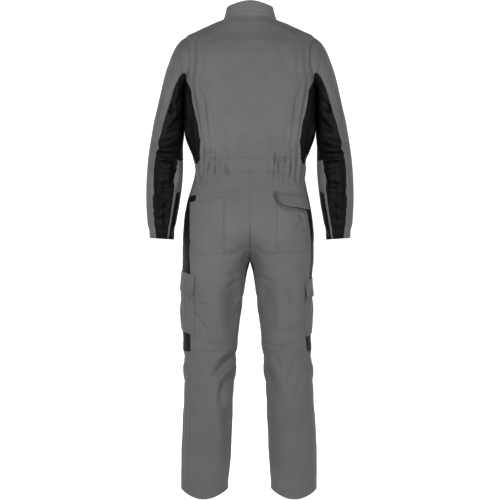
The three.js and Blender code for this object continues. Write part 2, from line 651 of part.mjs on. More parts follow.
// Trousers
const yokeSeam = (x) => mix(YOKE_SEAM_CENTRE, YOKE_SEAM_SIDE, smooth(20, 185, Math.abs(x)));

// Angle round the leg at which the surface crosses a distance from the middle plane, behind
// (turn 1) or in front (turn -1)
function crossing(surface, z, distance, turn) {
  const reach = (angle) => surface.sign * surface(turn * angle, z).x;
  return turn * solve(reach, 0.01, 95, distance);
}

function innerAngle(surface, z, turn, clear) {
  const inner = surface.sign * surface(0, z).x;
  const inseam = turn * LEG_GAP_ANGLE;
  if (inner >= clear) return inseam;
  const cut = crossing(surface, z, clear, turn);
  return Math.abs(cut) > Math.abs(inseam) ? cut : inseam;
}

function sideAngle(surface, z) {
  const goal = rowAt(LEG_SEAMS[surface.side], 'height', z).behind;
  return solve((angle) => surface.sign * surface(angle, z).x, 90, 180, goal);
}
const frontSideAngle = (surface, z) => rowAt(LEG_SEAMS[surface.side], 'height', z).before;

const hemHeight = (angle) => HEM_LOW + HEM_RISE * (1 - Math.max(0, Math.sin(angle * RAD)) ** 2)
  - HEM_FRONT_DROP * Math.max(0, -Math.sin(angle * RAD)) ** 2;
const LOWER_HEIGHTS = [0, 60, 115, 180, 240, 290, 335, 375, 410, 445,
  KNEE_SEAM - SEAM_GAP / 2];
const UPPER_HEIGHTS = [KNEE_SEAM + SEAM_GAP / 2, 500, 530, 570, 615, 660, 700, 728, 745,
  CROTCH_HEIGHT, 761, 766, 774, 786, 804, 830, 862, SEAT_LEVEL, 940, YOKE_SEAM_SIDE];
const HIP_HEIGHTS = [1000, WAIST_BOTTOM_SIDE - SEAM_GAP / 2];

// Upper rows end on the yoke seam, which is higher in the middle of the back
function seatHeight(surface, angle, height) {
  if (height <= SEAT_LEVEL) return height;
  const top = yokeSeam(surface(angle, YOKE_SEAM_SIDE).x) - SEAM_GAP / 2;
  return mix(SEAT_LEVEL, top, (height - SEAT_LEVEL) / (YOKE_SEAM_SIDE - SEAT_LEVEL));
}

// Height of a seat row at the middle seam, where the row's inner edge is found
function middleHeight(height) {
  const top = YOKE_SEAM_CENTRE - SEAM_GAP / 2;
  const share = Math.max(0, (height - SEAT_LEVEL) / (YOKE_SEAM_SIDE - SEAT_LEVEL));
  return share > 0 ? mix(SEAT_LEVEL, top, share) : height;
}

function legGrid(surface, heights, columns, from, to, heightAt) {
  return heights.map((height) => spread(columns).map((share) => {
    const angle = mix(from(height), to(height), share);
    return sample(surface, angle, heightAt(angle, height));
  }));
}
const lowerHeight = (angle, height) => (height > 0 ? height : hemHeight(angle));

function addLeg(surface) {
  const { side } = surface;
  const gap = LEG_GAP_ANGLE;
  const inner = (z) => innerAngle(surface, z, 1, SEAM_GAP / 2);
  const behind = (z) => sideAngle(surface, z) - gap;
  const sideStart = (z) => sideAngle(surface, z) + gap;
  const sideEnd = (z) => frontSideAngle(surface, z) - gap;
  const lower = (angle, height) => lowerHeight(angle, height);
  const upper = (angle, height) => seatHeight(surface, angle, height);
  addWall(`leg_back_upper_${side}`, GREY,
    legGrid(surface, UPPER_HEIGHTS, 9, (z) => inner(middleHeight(z)), behind, upper));
  addWall(`leg_back_lower_${side}`, GREY,
    legGrid(surface, LOWER_HEIGHTS, 9, inner, behind, lower));
  addWall(`leg_side_upper_${side}`, BLACK,
    legGrid(surface, UPPER_HEIGHTS, 4, sideStart, sideEnd, upper));
  addWall(`leg_side_lower_${side}`, GREY,
    legGrid(surface, LOWER_HEIGHTS, 4, sideStart, sideEnd, lower));

  const frontClear = (z) => (z < ZIP_BOTTOM - 10 ? SEAM_GAP / 2 : ZIP_HALF_WIDTH + SEAM_GAP);
  const frontInner = (z) => 360 + innerAngle(surface, z, -1, frontClear(z));
  const frontStart = (z) => frontSideAngle(surface, z) + gap;
  const joined = [...LOWER_HEIGHTS.slice(0, -1), ...UPPER_HEIGHTS, ...HIP_HEIGHTS];
  addWall(`leg_front_${side}`, GREY,
    legGrid(surface, joined, 7, frontStart, frontInner, lower));

  const yokeEnd = (z) => frontSideAngle(surface, z) - gap;
  const yokeHeight = (angle, share) => {
    const point = surface(angle, WAIST_BOTTOM_SIDE);
    const turn = Math.atan2(Math.abs(point.x), -point.y) / RAD;
    return mix(yokeSeam(surface(angle, YOKE_SEAM_SIDE).x) + SEAM_GAP,
      waistBottom(turn) - SEAM_GAP / 2, share);
  };
  const yokeGrid = [0, 0.5, 1].map((share) => spread(12).map((turn) => {
    const level = mix(YOKE_SEAM_SIDE, WAIST_BOTTOM_SIDE, share);
    const middle = mix(YOKE_SEAM_CENTRE + SEAM_GAP, WAIST_BOTTOM_CENTRE - SEAM_GAP / 2, share);
    const angle = mix(inner(middle), yokeEnd(level), turn);
    return sample(surface, angle, yokeHeight(angle, share));
  }));
  addWall(`yoke_${side}`, GREY, yokeGrid);
}

// Pockets, each laid on the surface beneath it
function backAngle(surface, distance, z) {
  return solve((angle) => surface.sign * surface(angle, z).x, 60, 180, distance);
}

function addLaid(name, colour, surface, columns, rows, place, lift, thickness = CLOTH) {
  const grid = spread(rows).map((v) => spread(columns).map((u) => {
    const { angle, z } = place(u, v);
    return sample(surface, angle, z);
  }));
  addWall(name, colour, grid, lift, thickness);
}
const bulge = (u, v) => Math.sqrt(Math.sin(Math.PI * u) * Math.sin(Math.PI * v) + 1e-9);

const BACK_POCKETS = {
  left: { inner: 81, outer: 189, topInner: 962, topOuter: 948, bottom: 785, chamfer: 9 },
  right: { inner: 84, outer: 174, topInner: 962, topOuter: 952, bottom: 791, chamfer: 4 },
};
const POCKET_PUFF = 2;

function addBackPocket(surface) {
  const size = BACK_POCKETS[surface.side];
  const place = (u, v) => {
    const slant = size.chamfer * u * smooth(0.35, 0, v);
    const distance = mix(size.inner, size.outer, u) - slant;
    const z = mix(size.bottom, mix(size.topInner, size.topOuter, u), v);
    return { angle: backAngle(surface, distance, z), z };
  };
  addLaid(`pocket_back_${surface.side}`, GREY, surface, 9, 6, place,
    (u, v) => LAY_GAP + POCKET_PUFF * bulge(u, v));
}

const FLAP = { inner: 79, outer: 176, top: 981, low: 931, lowOuter: 921, round: 38 };
const FLAP_STANDOFF = 7;

function addFlap(surface) {
  const place = (u, v) => {
    const distance = mix(FLAP.inner, FLAP.outer, u);
    const bend = clamp(1 - (distance - FLAP.inner) / FLAP.round);
    const corner = (FLAP.top - FLAP.low - 8) * (1 - Math.sqrt(1 - 0.998 * bend ** 2));
    const bottom = mix(FLAP.low, FLAP.lowOuter, u ** 2) + corner;
    const z = mix(bottom, FLAP.top - 11 * u, v);
    return { angle: backAngle(surface, distance, z), z };
  };
  const base = 2 * LAY_GAP + CLOTH + POCKET_PUFF;
  addLaid('pocket_flap_right', GREY, surface, 9, 4, place,
    (u, v) => mix(LAY_GAP, base, smooth(1, 0.7, v)) + FLAP_STANDOFF * (1 - v) ** 1.5);
}

// Cargo pockets on the outer side of the thigh: back edge by its distance from the middle
const CARGO = {
  left: { back: 176, front: 236, top: 683, bottom: 548, backDrop: 20, flapTop: 738 },
  right: { back: 175, front: 246, top: 664, bottom: 537, backDrop: 14, flapTop: 715 },
};
const CARGO_PUFF = 5;
const CARGO_FLAP_OVERLAP = 6;
const CARGO_FLAP_EXTRA = 2;
const CARGO_FLAP_STANDOFF = 4;

function addCargo(surface) {
  const size = CARGO[surface.side];
  const across = (u, z) => mix(backAngle(surface, size.back, z), size.front, u);
  const tilt = (u) => size.backDrop * (1 - u) ** 2;
  addLaid(`cargo_pocket_${surface.side}`, GREY, surface, 11, 5, (u, v) => {
    const z = mix(size.bottom, size.top, v) - tilt(u);
    return { angle: across(u, z), z };
  }, (u, v) => LAY_GAP + CARGO_PUFF * bulge(u, v));
  const flapLow = size.top - CARGO_FLAP_OVERLAP;
  addLaid(`cargo_flap_${surface.side}`, GREY, surface, 11, 3, (u, v) => {
    const z = mix(flapLow, size.flapTop, v) - tilt(u);
    return { angle: mix(across(0, z) - CARGO_FLAP_EXTRA, size.front + CARGO_FLAP_EXTRA, u), z };
  }, (u, v) => LAY_GAP + (LAY_GAP + CLOTH + CARGO_FLAP_STANDOFF) * (1 - v));
}

// Sleeves
function addSleevePanel(name, colour, surface, rows, columns, from, to) {
  const grid = rows.map((row) => spread(columns).map((share) => {
    const angle = mix(from(row), to(row), share);
    return sample(surface, angle, row, 0.2, 0.01);
  }));
  addWall(name, colour, grid);
}
const SLEEVE_GAP_ANGLE = 0.34;
const ELBOW_GAP_ROW = 0.004;
const UPPER_SLEEVE = [0, 0.3, 0.7, 1.4, 2.4, 3.4, 4.6, 6, 7.4, 8.8, 10.4];
const FOREARM = [13, 13.6, WEDGE_TOP_ROW, WEDGE_CORNER_ROW, 15, 15.8, 16.6, 17.3, CUFF_ROW];
const FOREARM_ROWS = [ELBOW_ROW + ELBOW_GAP_ROW, ...FOREARM];
const UNDER_ROWS = [...UPPER_SLEEVE, ELBOW_ROW - ELBOW_GAP_ROW];
const TOP_ROWS = [...UPPER_SLEEVE, ELBOW_ROW, ...FOREARM];
const sleeveSeam = (row, column) => rowAt(SLEEVE_SEAMS, 'row', row)[column];

function wedgeAngle(row) {
  if (row <= WEDGE_TOP_ROW) return SLEEVE_FRONT_SEAM;
  if (row <= WEDGE_CORNER_ROW) {
    const share = (row - WEDGE_TOP_ROW) / (WEDGE_CORNER_ROW - WEDGE_TOP_ROW);
    return mix(SLEEVE_FRONT_SEAM, WEDGE_CORNER_ANGLE, share);
  }
  return mix(WEDGE_CORNER_ANGLE, 131, (row - WEDGE_CORNER_ROW) / (CUFF_ROW - WEDGE_CORNER_ROW));
}

function addSleeve(side, sign) {
  const surface = sleeveSurface(sign);
  const gap = SLEEVE_GAP_ANGLE / 2;
  const behind = (row) => sleeveSeam(row, 'behind');
  const strip = (row) => sleeveSeam(row, 'strip');
  addSleevePanel(`sleeve_top_${side}`, GREY, surface, TOP_ROWS, 9,
    () => SLEEVE_FRONT_SEAM - 360 + gap, (row) => behind(row) - gap);
  addSleevePanel(`sleeve_under_${side}`, BLACK, surface, UNDER_ROWS, 6,
    (row) => behind(row) + gap, () => SLEEVE_FRONT_SEAM - gap);
  addSleevePanel(`forearm_back_${side}`, BLACK, surface, FOREARM_ROWS, 4,
    (row) => behind(row) + gap, (row) => strip(row) - gap);
  addSleevePanel(`forearm_strip_${side}`, GREY, surface, FOREARM_ROWS, 2,
    (row) => strip(row) + gap, (row) => wedgeAngle(row) - gap);

  // Dark wedge: its upper edge slants along the strip's end, its lower edge is the cuff
  const slant = (angle) => mix(WEDGE_TOP_ROW, WEDGE_CORNER_ROW,
    (SLEEVE_FRONT_SEAM - angle) / (SLEEVE_FRONT_SEAM - WEDGE_CORNER_ANGLE)) + 0.02;
  const rows = FOREARM.slice(FOREARM.indexOf(WEDGE_CORNER_ROW));
  const grid = rows.map((row) => spread(4).map((share) => {
    const angle = mix(wedgeAngle(row) + gap, SLEEVE_FRONT_SEAM - gap, share);
    const start = slant(angle);
    const scale = (row - WEDGE_CORNER_ROW) / (CUFF_ROW - WEDGE_CORNER_ROW);
    return sample(surface, angle, mix(Math.min(start, WEDGE_CORNER_ROW), CUFF_ROW, scale),
      0.2, 0.01);
  }));
  addWall(`forearm_wedge_${side}`, BLACK, grid);
}

// Zip: a plain chain down the middle of the front, its slider and a hinged pull tab
function frontLine(z) {
  if (z < WAIST_BOTTOM_SIDE) {
    const surface = legSurface('right');
    return surface(crossing(surface, z, ZIP_HALF_WIDTH + SEAM_GAP, -1), z).y;
  }
  if (z < NECKLINE_FRONT) return body(180, z).y;
  const share = (z - NECKLINE_FRONT) / (COLLAR_TOP_FRONT - NECKLINE_FRONT);
  return collarSurface(180, clamp(share)).y;
}

function addZip() {
  const heights = [ZIP_BOTTOM, 815, 830, 862, 900, 940, 985, 1030, 1055, 1086, 1106, 1130,
    1156, 1192, 1230, 1266, 1304, 1340, 1375, 1405, 1430, 1448, NECKLINE_FRONT, 1482,
    COLLAR_TOP_FRONT];
  const positions = [];
  heights.forEach((z) => {
    const y = frontLine(z);
    const half = ZIP_HALF_WIDTH;
    positions.push(-half, y, z, half, y, z, half, y - ZIP_THICKNESS, z,
      -half, y - ZIP_THICKNESS, z);
  });
  const triangles = [];
  for (let row = 0; row < heights.length - 1; row += 1) {
    for (let edge = 0; edge < 4; edge += 1) {
      const a = row * 4 + edge;
      const b = row * 4 + (edge + 1) % 4;
      triangles.push(a, b, b + 4, a, b + 4, a + 4);
    }
  }
  const last = (heights.length - 1) * 4;
  triangles.push(0, 2, 1, 0, 3, 2, last, last + 1, last + 2, last, last + 2, last + 3);
  addMesh('zip_chain', METAL, positions, triangles);
}

const SLIDER = {
  height: 1474, width: 9, length: 13, thickness: 2.4, bridge: 3.2, bridgeFoot: 0.6 };
const PULL = { width: 6, length: 30, thickness: 1.4, top: 3, clear: 0.3 };

// Side profile of the slider, extruded across: a plate with a bridge that holds the tab
function addSlider() {
  const { height, width, length, thickness, bridge, bridgeFoot } = SLIDER;
  const low = frontLine(height - 20);
  const high = frontLine(height + 20);
  const lean = Math.atan2(low - high, 40);
  const origin = new THREE.Vector3(-width / 2, frontLine(height) + SEAM_GAP + 0.2, height);
  // In the profile x runs forward and y runs up
  const profile = new THREE.Shape();
  profile.moveTo(0, -length / 2);
  profile.lineTo(thickness, -length / 2);
  profile.lineTo(thickness, bridgeFoot);
  profile.lineTo(thickness + bridge, bridgeFoot);
  profile.lineTo(thickness + bridge, length / 2);
  profile.lineTo(0, length / 2);
  const geometry = new THREE.ExtrudeGeometry(profile, { depth: width, bevelEnabled: false });
  // Profile x to +Y, profile y to +Z, depth to +X
  geometry.applyMatrix4(new THREE.Matrix4().makeBasis(
    new THREE.Vector3(0, 1, 0), new THREE.Vector3(0, 0, 1), new THREE.Vector3(1, 0, 0)));
  const slider = new THREE.Group();
  slider.position.copy(origin);
  slider.rotation.x = lean;
  const metal = new THREE.MeshStandardMaterial({ color: METAL, roughness: 0.35, metalness: 0.9 });
  const plate = new THREE.Mesh(geometry, metal);
  plate.name = 'zip_slider';
  slider.add(plate);

  const outline = new THREE.Shape();
  const half = PULL.width / 2;
  outline.moveTo(-half, 0);
  outline.lineTo(half, 0);
  outline.lineTo(half, -PULL.length + half);
  outline.absarc(0, -PULL.length + half, half, 0, -Math.PI, true);
  const hole = new THREE.Path();
  hole.absarc(0, -PULL.length + half + 1, 1.4, 0, 2 * Math.PI, false);
  outline.holes.push(hole);
  const tab = new THREE.ExtrudeGeometry(outline, {
    depth: PULL.thickness, bevelEnabled: false, curveSegments: 6 });
  // Outline x to +X, outline y to +Z, depth to -Y
  tab.applyMatrix4(new THREE.Matrix4().makeRotationX(Math.PI / 2));
  const pull = new THREE.Mesh(tab, metal);
  pull.name = 'zip_pull';
  pull.position.set(width / 2, thickness + bridge + PULL.clear + PULL.thickness, PULL.top);
  slider.add(pull);
  suit.add(slider);
}

addBack();
addCollar();
addWaist('waist_casing', gatheredWaist, CASING_ANGLES);
for (const [side, sign] of [['left', -1], ['right', 1]]) {
  const surface = legSurface(side);
  addFront(side, sign);
  addSide(side, sign);
  addWaist(`waistband_${side}`, body, WAISTBAND_ANGLES.map((angle) => sign * angle));
  addLeg(surface);
  addBackPocket(surface);
  addCargo(surface);
  addSleeve(side, sign);
}
addFlap(legSurface('right'));
addZip();
addSlider();

suit.position.z = -NECK_HEIGHT;

export default suit;
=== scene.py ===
"""Looks of the boiler suit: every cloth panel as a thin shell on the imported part's own surfaces,
with its creases, seams and stitches, the zip's teeth, the materials, a studio and the camera."""
import math

import bpy
import numpy as np
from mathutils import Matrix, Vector


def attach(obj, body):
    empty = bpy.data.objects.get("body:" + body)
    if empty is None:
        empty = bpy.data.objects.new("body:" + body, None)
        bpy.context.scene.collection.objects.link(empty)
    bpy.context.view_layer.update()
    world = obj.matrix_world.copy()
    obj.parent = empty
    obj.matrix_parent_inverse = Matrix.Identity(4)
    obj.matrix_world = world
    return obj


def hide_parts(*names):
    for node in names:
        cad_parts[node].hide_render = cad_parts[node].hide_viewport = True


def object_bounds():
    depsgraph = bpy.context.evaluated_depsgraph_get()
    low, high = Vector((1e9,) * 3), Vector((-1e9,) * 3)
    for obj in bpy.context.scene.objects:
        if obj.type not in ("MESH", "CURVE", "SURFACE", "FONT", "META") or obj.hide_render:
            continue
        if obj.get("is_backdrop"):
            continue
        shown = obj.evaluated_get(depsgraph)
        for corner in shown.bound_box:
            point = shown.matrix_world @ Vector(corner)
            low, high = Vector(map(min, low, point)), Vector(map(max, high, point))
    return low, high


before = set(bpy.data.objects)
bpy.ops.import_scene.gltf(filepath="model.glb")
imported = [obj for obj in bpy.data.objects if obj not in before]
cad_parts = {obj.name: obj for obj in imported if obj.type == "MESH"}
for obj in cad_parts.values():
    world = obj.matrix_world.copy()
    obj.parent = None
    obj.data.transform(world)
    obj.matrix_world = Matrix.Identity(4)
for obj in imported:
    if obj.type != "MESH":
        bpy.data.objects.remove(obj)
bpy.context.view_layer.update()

# The part's driving sizes in millimetres, heights counted up from the floor
NECK_HEIGHT = 1534
CLOTH, SOLID_CLOTH = 1.0, 1.2  # wall of the cloth here, and of the part's solids
COLLAR_CLOTH = 1.1
LAY_GAP = 0.9
WAIST_EASE = 1.3  # flat width of the elastic casing over its worn width
CREASE_FORCE = 1.55  # how much deeper the creases are than their rows say
CROTCH_HEIGHT, SEAT_BLEND = 758, 118
KNEE_SEAM = 476
WAIST_TOP, WAIST_SIDE_DROP = 1086, 16
WAIST_BOTTOM_CENTRE, WAIST_BOTTOM_SIDE = 1043, 1030
YOKE_CENTRE, YOKE_SIDE = 985, 970
HEM_LOW, HEM_RISE, HEM_FRONT_DROP = 12, 25, 6
NECKLINE_BACK, NECKLINE_FRONT = 1541, 1462
COLLAR_TOP_BACK, COLLAR_TOP_SIDE, COLLAR_TOP_FRONT = 1588, 1571, 1503
COLLAR_HALF_WIDTH, COLLAR_BACK, COLLAR_FRONT, COLLAR_POWER = 75, 56, 94, 2.4
ARMHOLE_MIDDLE, ARMHOLE_HALF = 1391, 87
ARMHOLE_BACK_ANGLE, ARMHOLE_FRONT_ANGLE = 24, 27
ARMHOLE_GAP = 0.2
SHOULDER_SEAM_ANGLE = 85
SIDE_PANEL_PEAK = 1336
SLEEVE_FRONT_SEAM = 215
CUFF_ROW, ELBOW_ROW = 18, 12.2
WEDGE_TOP_ROW, WEDGE_CORNER_ROW, WEDGE_CORNER_ANGLE = 14.05, 14.35, 141
ZIP_BOTTOM, ZIP_EDGE = 805, 3.4  # ZIP_EDGE is half the opening between the fronts
SEAT_LEVEL, HEM_BAND = 900, 60
CENTRE_GAP = 0.02


class Rows:
    """A table whose columns run as smooth curves over its first column."""

    def __init__(self, names, rows):
        self.names = names.split()
        self.rows = np.array(rows, float)

    def __call__(self, place):
        t = self.rows
        p = t[:, 0]
        last = len(p) - 1
        place = np.asarray(place, float)
        i = np.clip(np.searchsorted(p, place) - 1, 0, last - 1)
        a, b = np.maximum(i - 1, 0), np.minimum(i + 2, last)
        span = p[i + 1] - p[i]
        s = np.clip((place - p[i]) / span, 0, 1)[..., None]
        low = (t[i + 1] - t[a]) / (p[i + 1] - p[a])[..., None] * span[..., None]
        high = (t[b] - t[i]) / (p[b] - p[i])[..., None] * span[..., None]
        values = (t[i] * (2 * s**3 - 3 * s**2 + 1) + low * (s**3 - 2 * s**2 + s)
                  + t[i + 1] * (3 * s**2 - 2 * s**3) + high * (s**3 - s**2))
        return {name: values[..., k] for k, name in enumerate(self.names)}


BODY = Rows("height left right back front power", [
    (758, 216, 204, 138, 120, 2.2), (818, 215, 204, 149, 124, 2.25),
    (866, 212.5, 202, 152, 126, 2.3), (904, 210, 198.5, 147, 126, 2.3),
    (952, 201, 190.5, 134, 124, 2.3), (985, 191, 183.5, 123, 121, 2.3),
    (1030, 178.5, 177, 111, 117, 2.3), (1055, 176, 178.5, 107, 116, 2.3),
    (1086, 181, 181, 111, 120, 2.3), (1112, 190.5, 190.5, 120, 128, 2.35),
    (1144, 203, 203, 128, 136, 2.4), (1165, 208.5, 208.5, 132, 140, 2.45),
    (1220, 209.5, 209.5, 137, 146, 2.5), (1304, 209.5, 209.5, 139, 148, 2.7),
    (1400, 208.5, 208.5, 131, 138, 3), (1450, 207.5, 207.5, 115, 116, 2.95),
    (1478, 202, 202, 99, 101, 2.7), (1490, 180, 180, 93, 95, 2.5), (1502, 156, 156, 87, 89, 2.4),
    (1521.6, 113, 113, 76, 77, 2.25), (1534, 84, 84, 66, 72, 2.1), (1546, 80, 80, 62, 69, 2.05),
])
LEG_LEFT = Rows("height outer inner centre back front sway", [
    (12, 219, 72, 146, 70, 69, 0), (62, 220.5, 69.5, 145, 71, 70, -1),
    (107, 219.8, 64.6, 142, 72, 71, -2), (210, 217, 58, 138, 75, 73, -5),
    (312, 212.8, 53.8, 134, 79, 76, -4), (363, 211, 51, 131, 80, 78, 0),
    (440, 211.5, 44.8, 128, 80, 82, 4), (491, 213.5, 40.3, 126, 82, 85, 5),
    (542, 215, 35.5, 124, 87, 88, 4), (594, 216, 29, 121, 94, 93, 2),
    (645, 216.5, 22, 117, 102, 98, 0), (696, 217, 14, 112, 110, 104, 0),
    (728, 217, 8.5, 109, 116, 108, 0), (758, 216, 0.5, 106, 123, 112, 0),
    (800, 215.5, -2, 106, 131, 115, 0), (1100, 215, -2, 106, 131, 115, 0),
])
LEG_RIGHT = Rows("height outer inner centre back front sway", [
    (12, 212, 68, 140, 70, 69, 0), (62, 213.5, 66.6, 140, 71, 70, -1),
    (107, 214, 63, 138, 72, 71, -2), (210, 211, 57.6, 135, 75, 73, -5),
    (312, 205, 52.5, 130, 79, 76, -4), (363, 202, 50.6, 127, 80, 78, 0),
    (440, 197.5, 44.2, 121, 80, 82, 4), (491, 195, 38.4, 117, 82, 85, 5),
    (542, 195, 34.9, 115, 87, 88, 4), (594, 195.5, 27.8, 112, 94, 93, 2),
    (645, 196.5, 21, 110, 102, 98, 0), (696, 198, 14, 108, 110, 104, 0),
    (728, 200, 8.5, 107, 116, 108, 0), (758, 203.5, 0.5, 106, 123, 112, 0),
    (800, 204, -2, 106, 131, 115, 0), (1100, 204, -2, 106, 131, 115, 0),
])
SLEEVE = Rows("row outerX outerZ innerX innerZ depth forward", [
    (0, 202, 1478, 209.5, 1304, 80, 2), (1, 221, 1465, 210.2, 1302.4, 82, 3),
    (2, 237, 1446, 210.4, 1300.6, 84, 6), (3, 248.2, 1426, 210.4, 1298, 85, 10),
    (4, 257.3, 1403, 210.3, 1294, 85, 13), (5, 270, 1368, 210, 1287, 84, 18),
    (6, 280.4, 1330, 209.9, 1276, 83, 22), (7, 289.4, 1291, 209.9, 1259, 81, 24),
    (8, 298.4, 1252, 209.9, 1234, 79, 24), (9, 307.4, 1214, 210.2, 1204, 76, 24),
    (10, 314.8, 1176, 211.2, 1170, 73, 23), (11, 321.2, 1136, 214.5, 1133, 70, 21),
    (12, 327, 1093, 214.5, 1091, 67, 18), (13, 330.8, 1050, 215, 1048, 65, 17),
    (14, 333.4, 1000, 219, 998, 62, 18), (15, 333.8, 950, 226, 948, 57, 21),
    (16, 332, 910, 233.5, 908, 52, 25), (17, 328.5, 873, 240.5, 869, 46, 28),
    (18, 322, 836, 247, 831, 40, 34),
])
TORSO_SEAMS = Rows("height behind before", [
    (1060, 71, 106), (1086, 69.5, 107), (1112, 64.3, 109), (1150, 59.6, 112), (1189, 58.9, 114),
    (1227, 61.7, 115), (1265, 63.3, 114), (1300, 64.6, 112), (1318, 68.6, 109.5), (1336, 74, 108),
])
SEAMS_LEFT = Rows("height behind before", [
    (12, 190, 204), (210, 192, 206), (474, 189, 210), (545, 189, 212), (640, 187.5, 214),
    (728, 188, 216), (793, 191.5, 218), (818, 190, 219), (930, 177, 219), (970, 169.5, 219),
    (1100, 169.5, 219),
])
SEAMS_RIGHT = Rows("height behind before", [
    (12, 196, 212), (210, 193, 214), (474, 180.5, 220), (545, 176, 222), (640, 181, 223),
    (728, 189.5, 224), (793, 192.5, 225), (872, 187, 225), (930, 179, 225), (970, 173, 225),
    (1100, 173, 225),
])
SLEEVE_SEAMS = Rows("row behind strip", [
    (0, 126, 137), (0.6, 117, 137), (1.4, 108.5, 137), (2.6, 108.5, 137), (4, 106, 137),
    (5.4, 100, 137), (7, 89.5, 137), (8.2, 82.5, 137), (10.2, 68.8, 137), (12.2, 57.5, 137),
    (14, 54, 130), (16, 60, 126), (18, 67, 121),
])


LEG = {-1: LEG_LEFT, 1: LEG_RIGHT}
LEG_SEAMS = {-1: SEAMS_LEFT, 1: SEAMS_RIGHT}
BOTH = (-1, 1)
SIDE = {-1: "left", 1: "right"}
GATHER_DEPTH, GATHER_RIDGE = 6.4, 2.4
GATHERS = {  # distance of each pleat from the middle, and its strength
    -1: ((74, 1.0), (87, 0.45), (99, 0.8), (112, 1.0), (124, 0.4), (134, 1.1), (147, 0.9),
         (162, 1.2), (176, 0.7), (192, 0.6)),
    1: ((64, 0.35), (78, 1.1), (92, 1.0), (103, 0.4), (112, 1.0), (130, 1.1), (141, 0.4),
        (149, 1.0), (165, 1.0), (180, 0.6)),
}


def mix(a, b, share):
    return a + (b - a) * share


def smooth(start, end, value):
    share = np.clip((value - start) / (end - start), 0, 1)
    return share * share * (3 - 2 * share)


def mound(value, middle, width):
    """A rounded rise of height 1 around the middle."""
    return np.exp(-(((value - middle) / width) ** 2))


def sind(angle):
    return np.sin(np.radians(angle))


def cosd(angle):
    return np.cos(np.radians(angle))


def solve(measure, low, high, goal, steps=34):
    """The place between low and high where a rising measure reaches its goal."""
    goal = np.asarray(goal, float)
    start = np.zeros(goal.shape) + low
    end = np.zeros(goal.shape) + high
    for _ in range(steps):
        middle = (start + end) / 2
        below = measure(middle) < goal
        start, end = np.where(below, middle, start), np.where(below, end, middle)
    return (start + end) / 2


def stack(x, y, z):
    return np.stack(np.broadcast_arrays(x, y, z), -1).astype(float)


# Surfaces: each takes two arrays and returns points in millimetres


def body(angle, z):
    row = BODY(z)
    sine, cosine = sind(angle), cosd(angle)
    half_x = np.where(sine < 0, row["left"], row["right"])
    half_y = np.where(cosine > 0, row["back"], row["front"])
    power = row["power"]
    radius = ((abs(sine) / half_x) ** power + (abs(cosine) / half_y) ** power) ** (-1 / power)
    return stack(sine * radius, -cosine * radius, z)


def leg_surface(sign):
    def surface(angle, z):
        angle, z = np.broadcast_arrays(np.asarray(angle, float), np.asarray(z, float))
        row = LEG[sign](z)
        along_x, along_y = -cosd(angle), -sind(angle)
        half_x = np.where(along_x < 0, row["centre"] - row["inner"], row["outer"] - row["centre"])
        half_y = np.where(along_y < 0, row["back"], row["front"])
        reach = 1 / np.hypot(along_x / half_x, along_y / half_y)
        share = smooth(CROTCH_HEIGHT - 2, CROTCH_HEIGHT + SEAT_BLEND, z)
        if share.max() > 0:
            section = BODY(z)
            outer = section[SIDE[sign]]
            middle = (section["left"] + section["right"]) / 2

            def inside(distance):
                x = row["centre"] + along_x * distance
                y = along_y * distance
                depth = np.where(y < 0, section["back"], section["front"])
                return ((abs(x) / np.where(x < 0, middle, outer)) ** section["power"]
                        + (abs(y) / depth) ** section["power"])

            reach = mix(reach, solve(inside, 0, 500, np.ones(angle.shape), 26), share)
        x = sign * (row["centre"] + along_x * reach)
        return stack(x, row["sway"] + along_y * reach, z)

    return surface


LEG_SURFACE = {-1: leg_surface(-1), 1: leg_surface(1)}


def leg_x(sign, angle, z):
    """Distance of the leg's surface outward from the middle plane."""
    return sign * LEG_SURFACE[sign](angle, z)[..., 0]


def armhole_angle(around):
    sine = sind(around)
    power = np.where(cosd(around) < 0, 1.6, 1)
    rise = abs(sine) ** power
    return np.where(sine >= 0, 90 - ARMHOLE_BACK_ANGLE * rise, 90 + ARMHOLE_FRONT_ANGLE * rise)


def armhole_height(around):
    return ARMHOLE_MIDDLE + ARMHOLE_HALF * cosd(around)


def armhole_around(height):
    return np.degrees(np.arccos(np.clip((height - ARMHOLE_MIDDLE) / ARMHOLE_HALF, -1, 1)))


def sleeve_surface(sign):
    def ring(around, place):
        row = SLEEVE(place)
        share = cosd(around)
        return stack(
            sign * ((row["outerX"] + row["innerX"]) / 2 + (row["outerX"] - row["innerX"]) / 2 * share),
            row["forward"] - row["depth"] * sind(around),
            (row["outerZ"] + row["innerZ"]) / 2 + (row["outerZ"] - row["innerZ"]) / 2 * share)

    def surface(around, place):
        around, place = np.broadcast_arrays(np.asarray(around, float), np.asarray(place, float))
        point = ring(around, place)
        edge = body(sign * armhole_angle(around), armhole_height(around))
        edge[..., 0] += sign * ARMHOLE_GAP
        left = (1 - smooth(0, 3.5, place))[..., None]
        return point + (edge - ring(around, np.zeros(place.shape))) * left

    return surface


SLEEVE_SURFACE = {-1: sleeve_surface(-1), 1: sleeve_surface(1)}


def neckline_height(angle):
    turn = abs(angle)
    back = mix(NECK_HEIGHT, NECKLINE_BACK, np.maximum(cosd(turn), 0) ** 0.7)
    return np.where(turn < 90, back, mix(NECK_HEIGHT, NECKLINE_FRONT, ((turn - 90) / 90) ** 2))


def collar_top_height(angle):
    turn = abs(angle)
    back = mix(COLLAR_TOP_SIDE, COLLAR_TOP_BACK, cosd(turn) ** 2)
    return np.where(turn < 90, back, mix(COLLAR_TOP_SIDE, COLLAR_TOP_FRONT, ((turn - 90) / 90) ** 2))


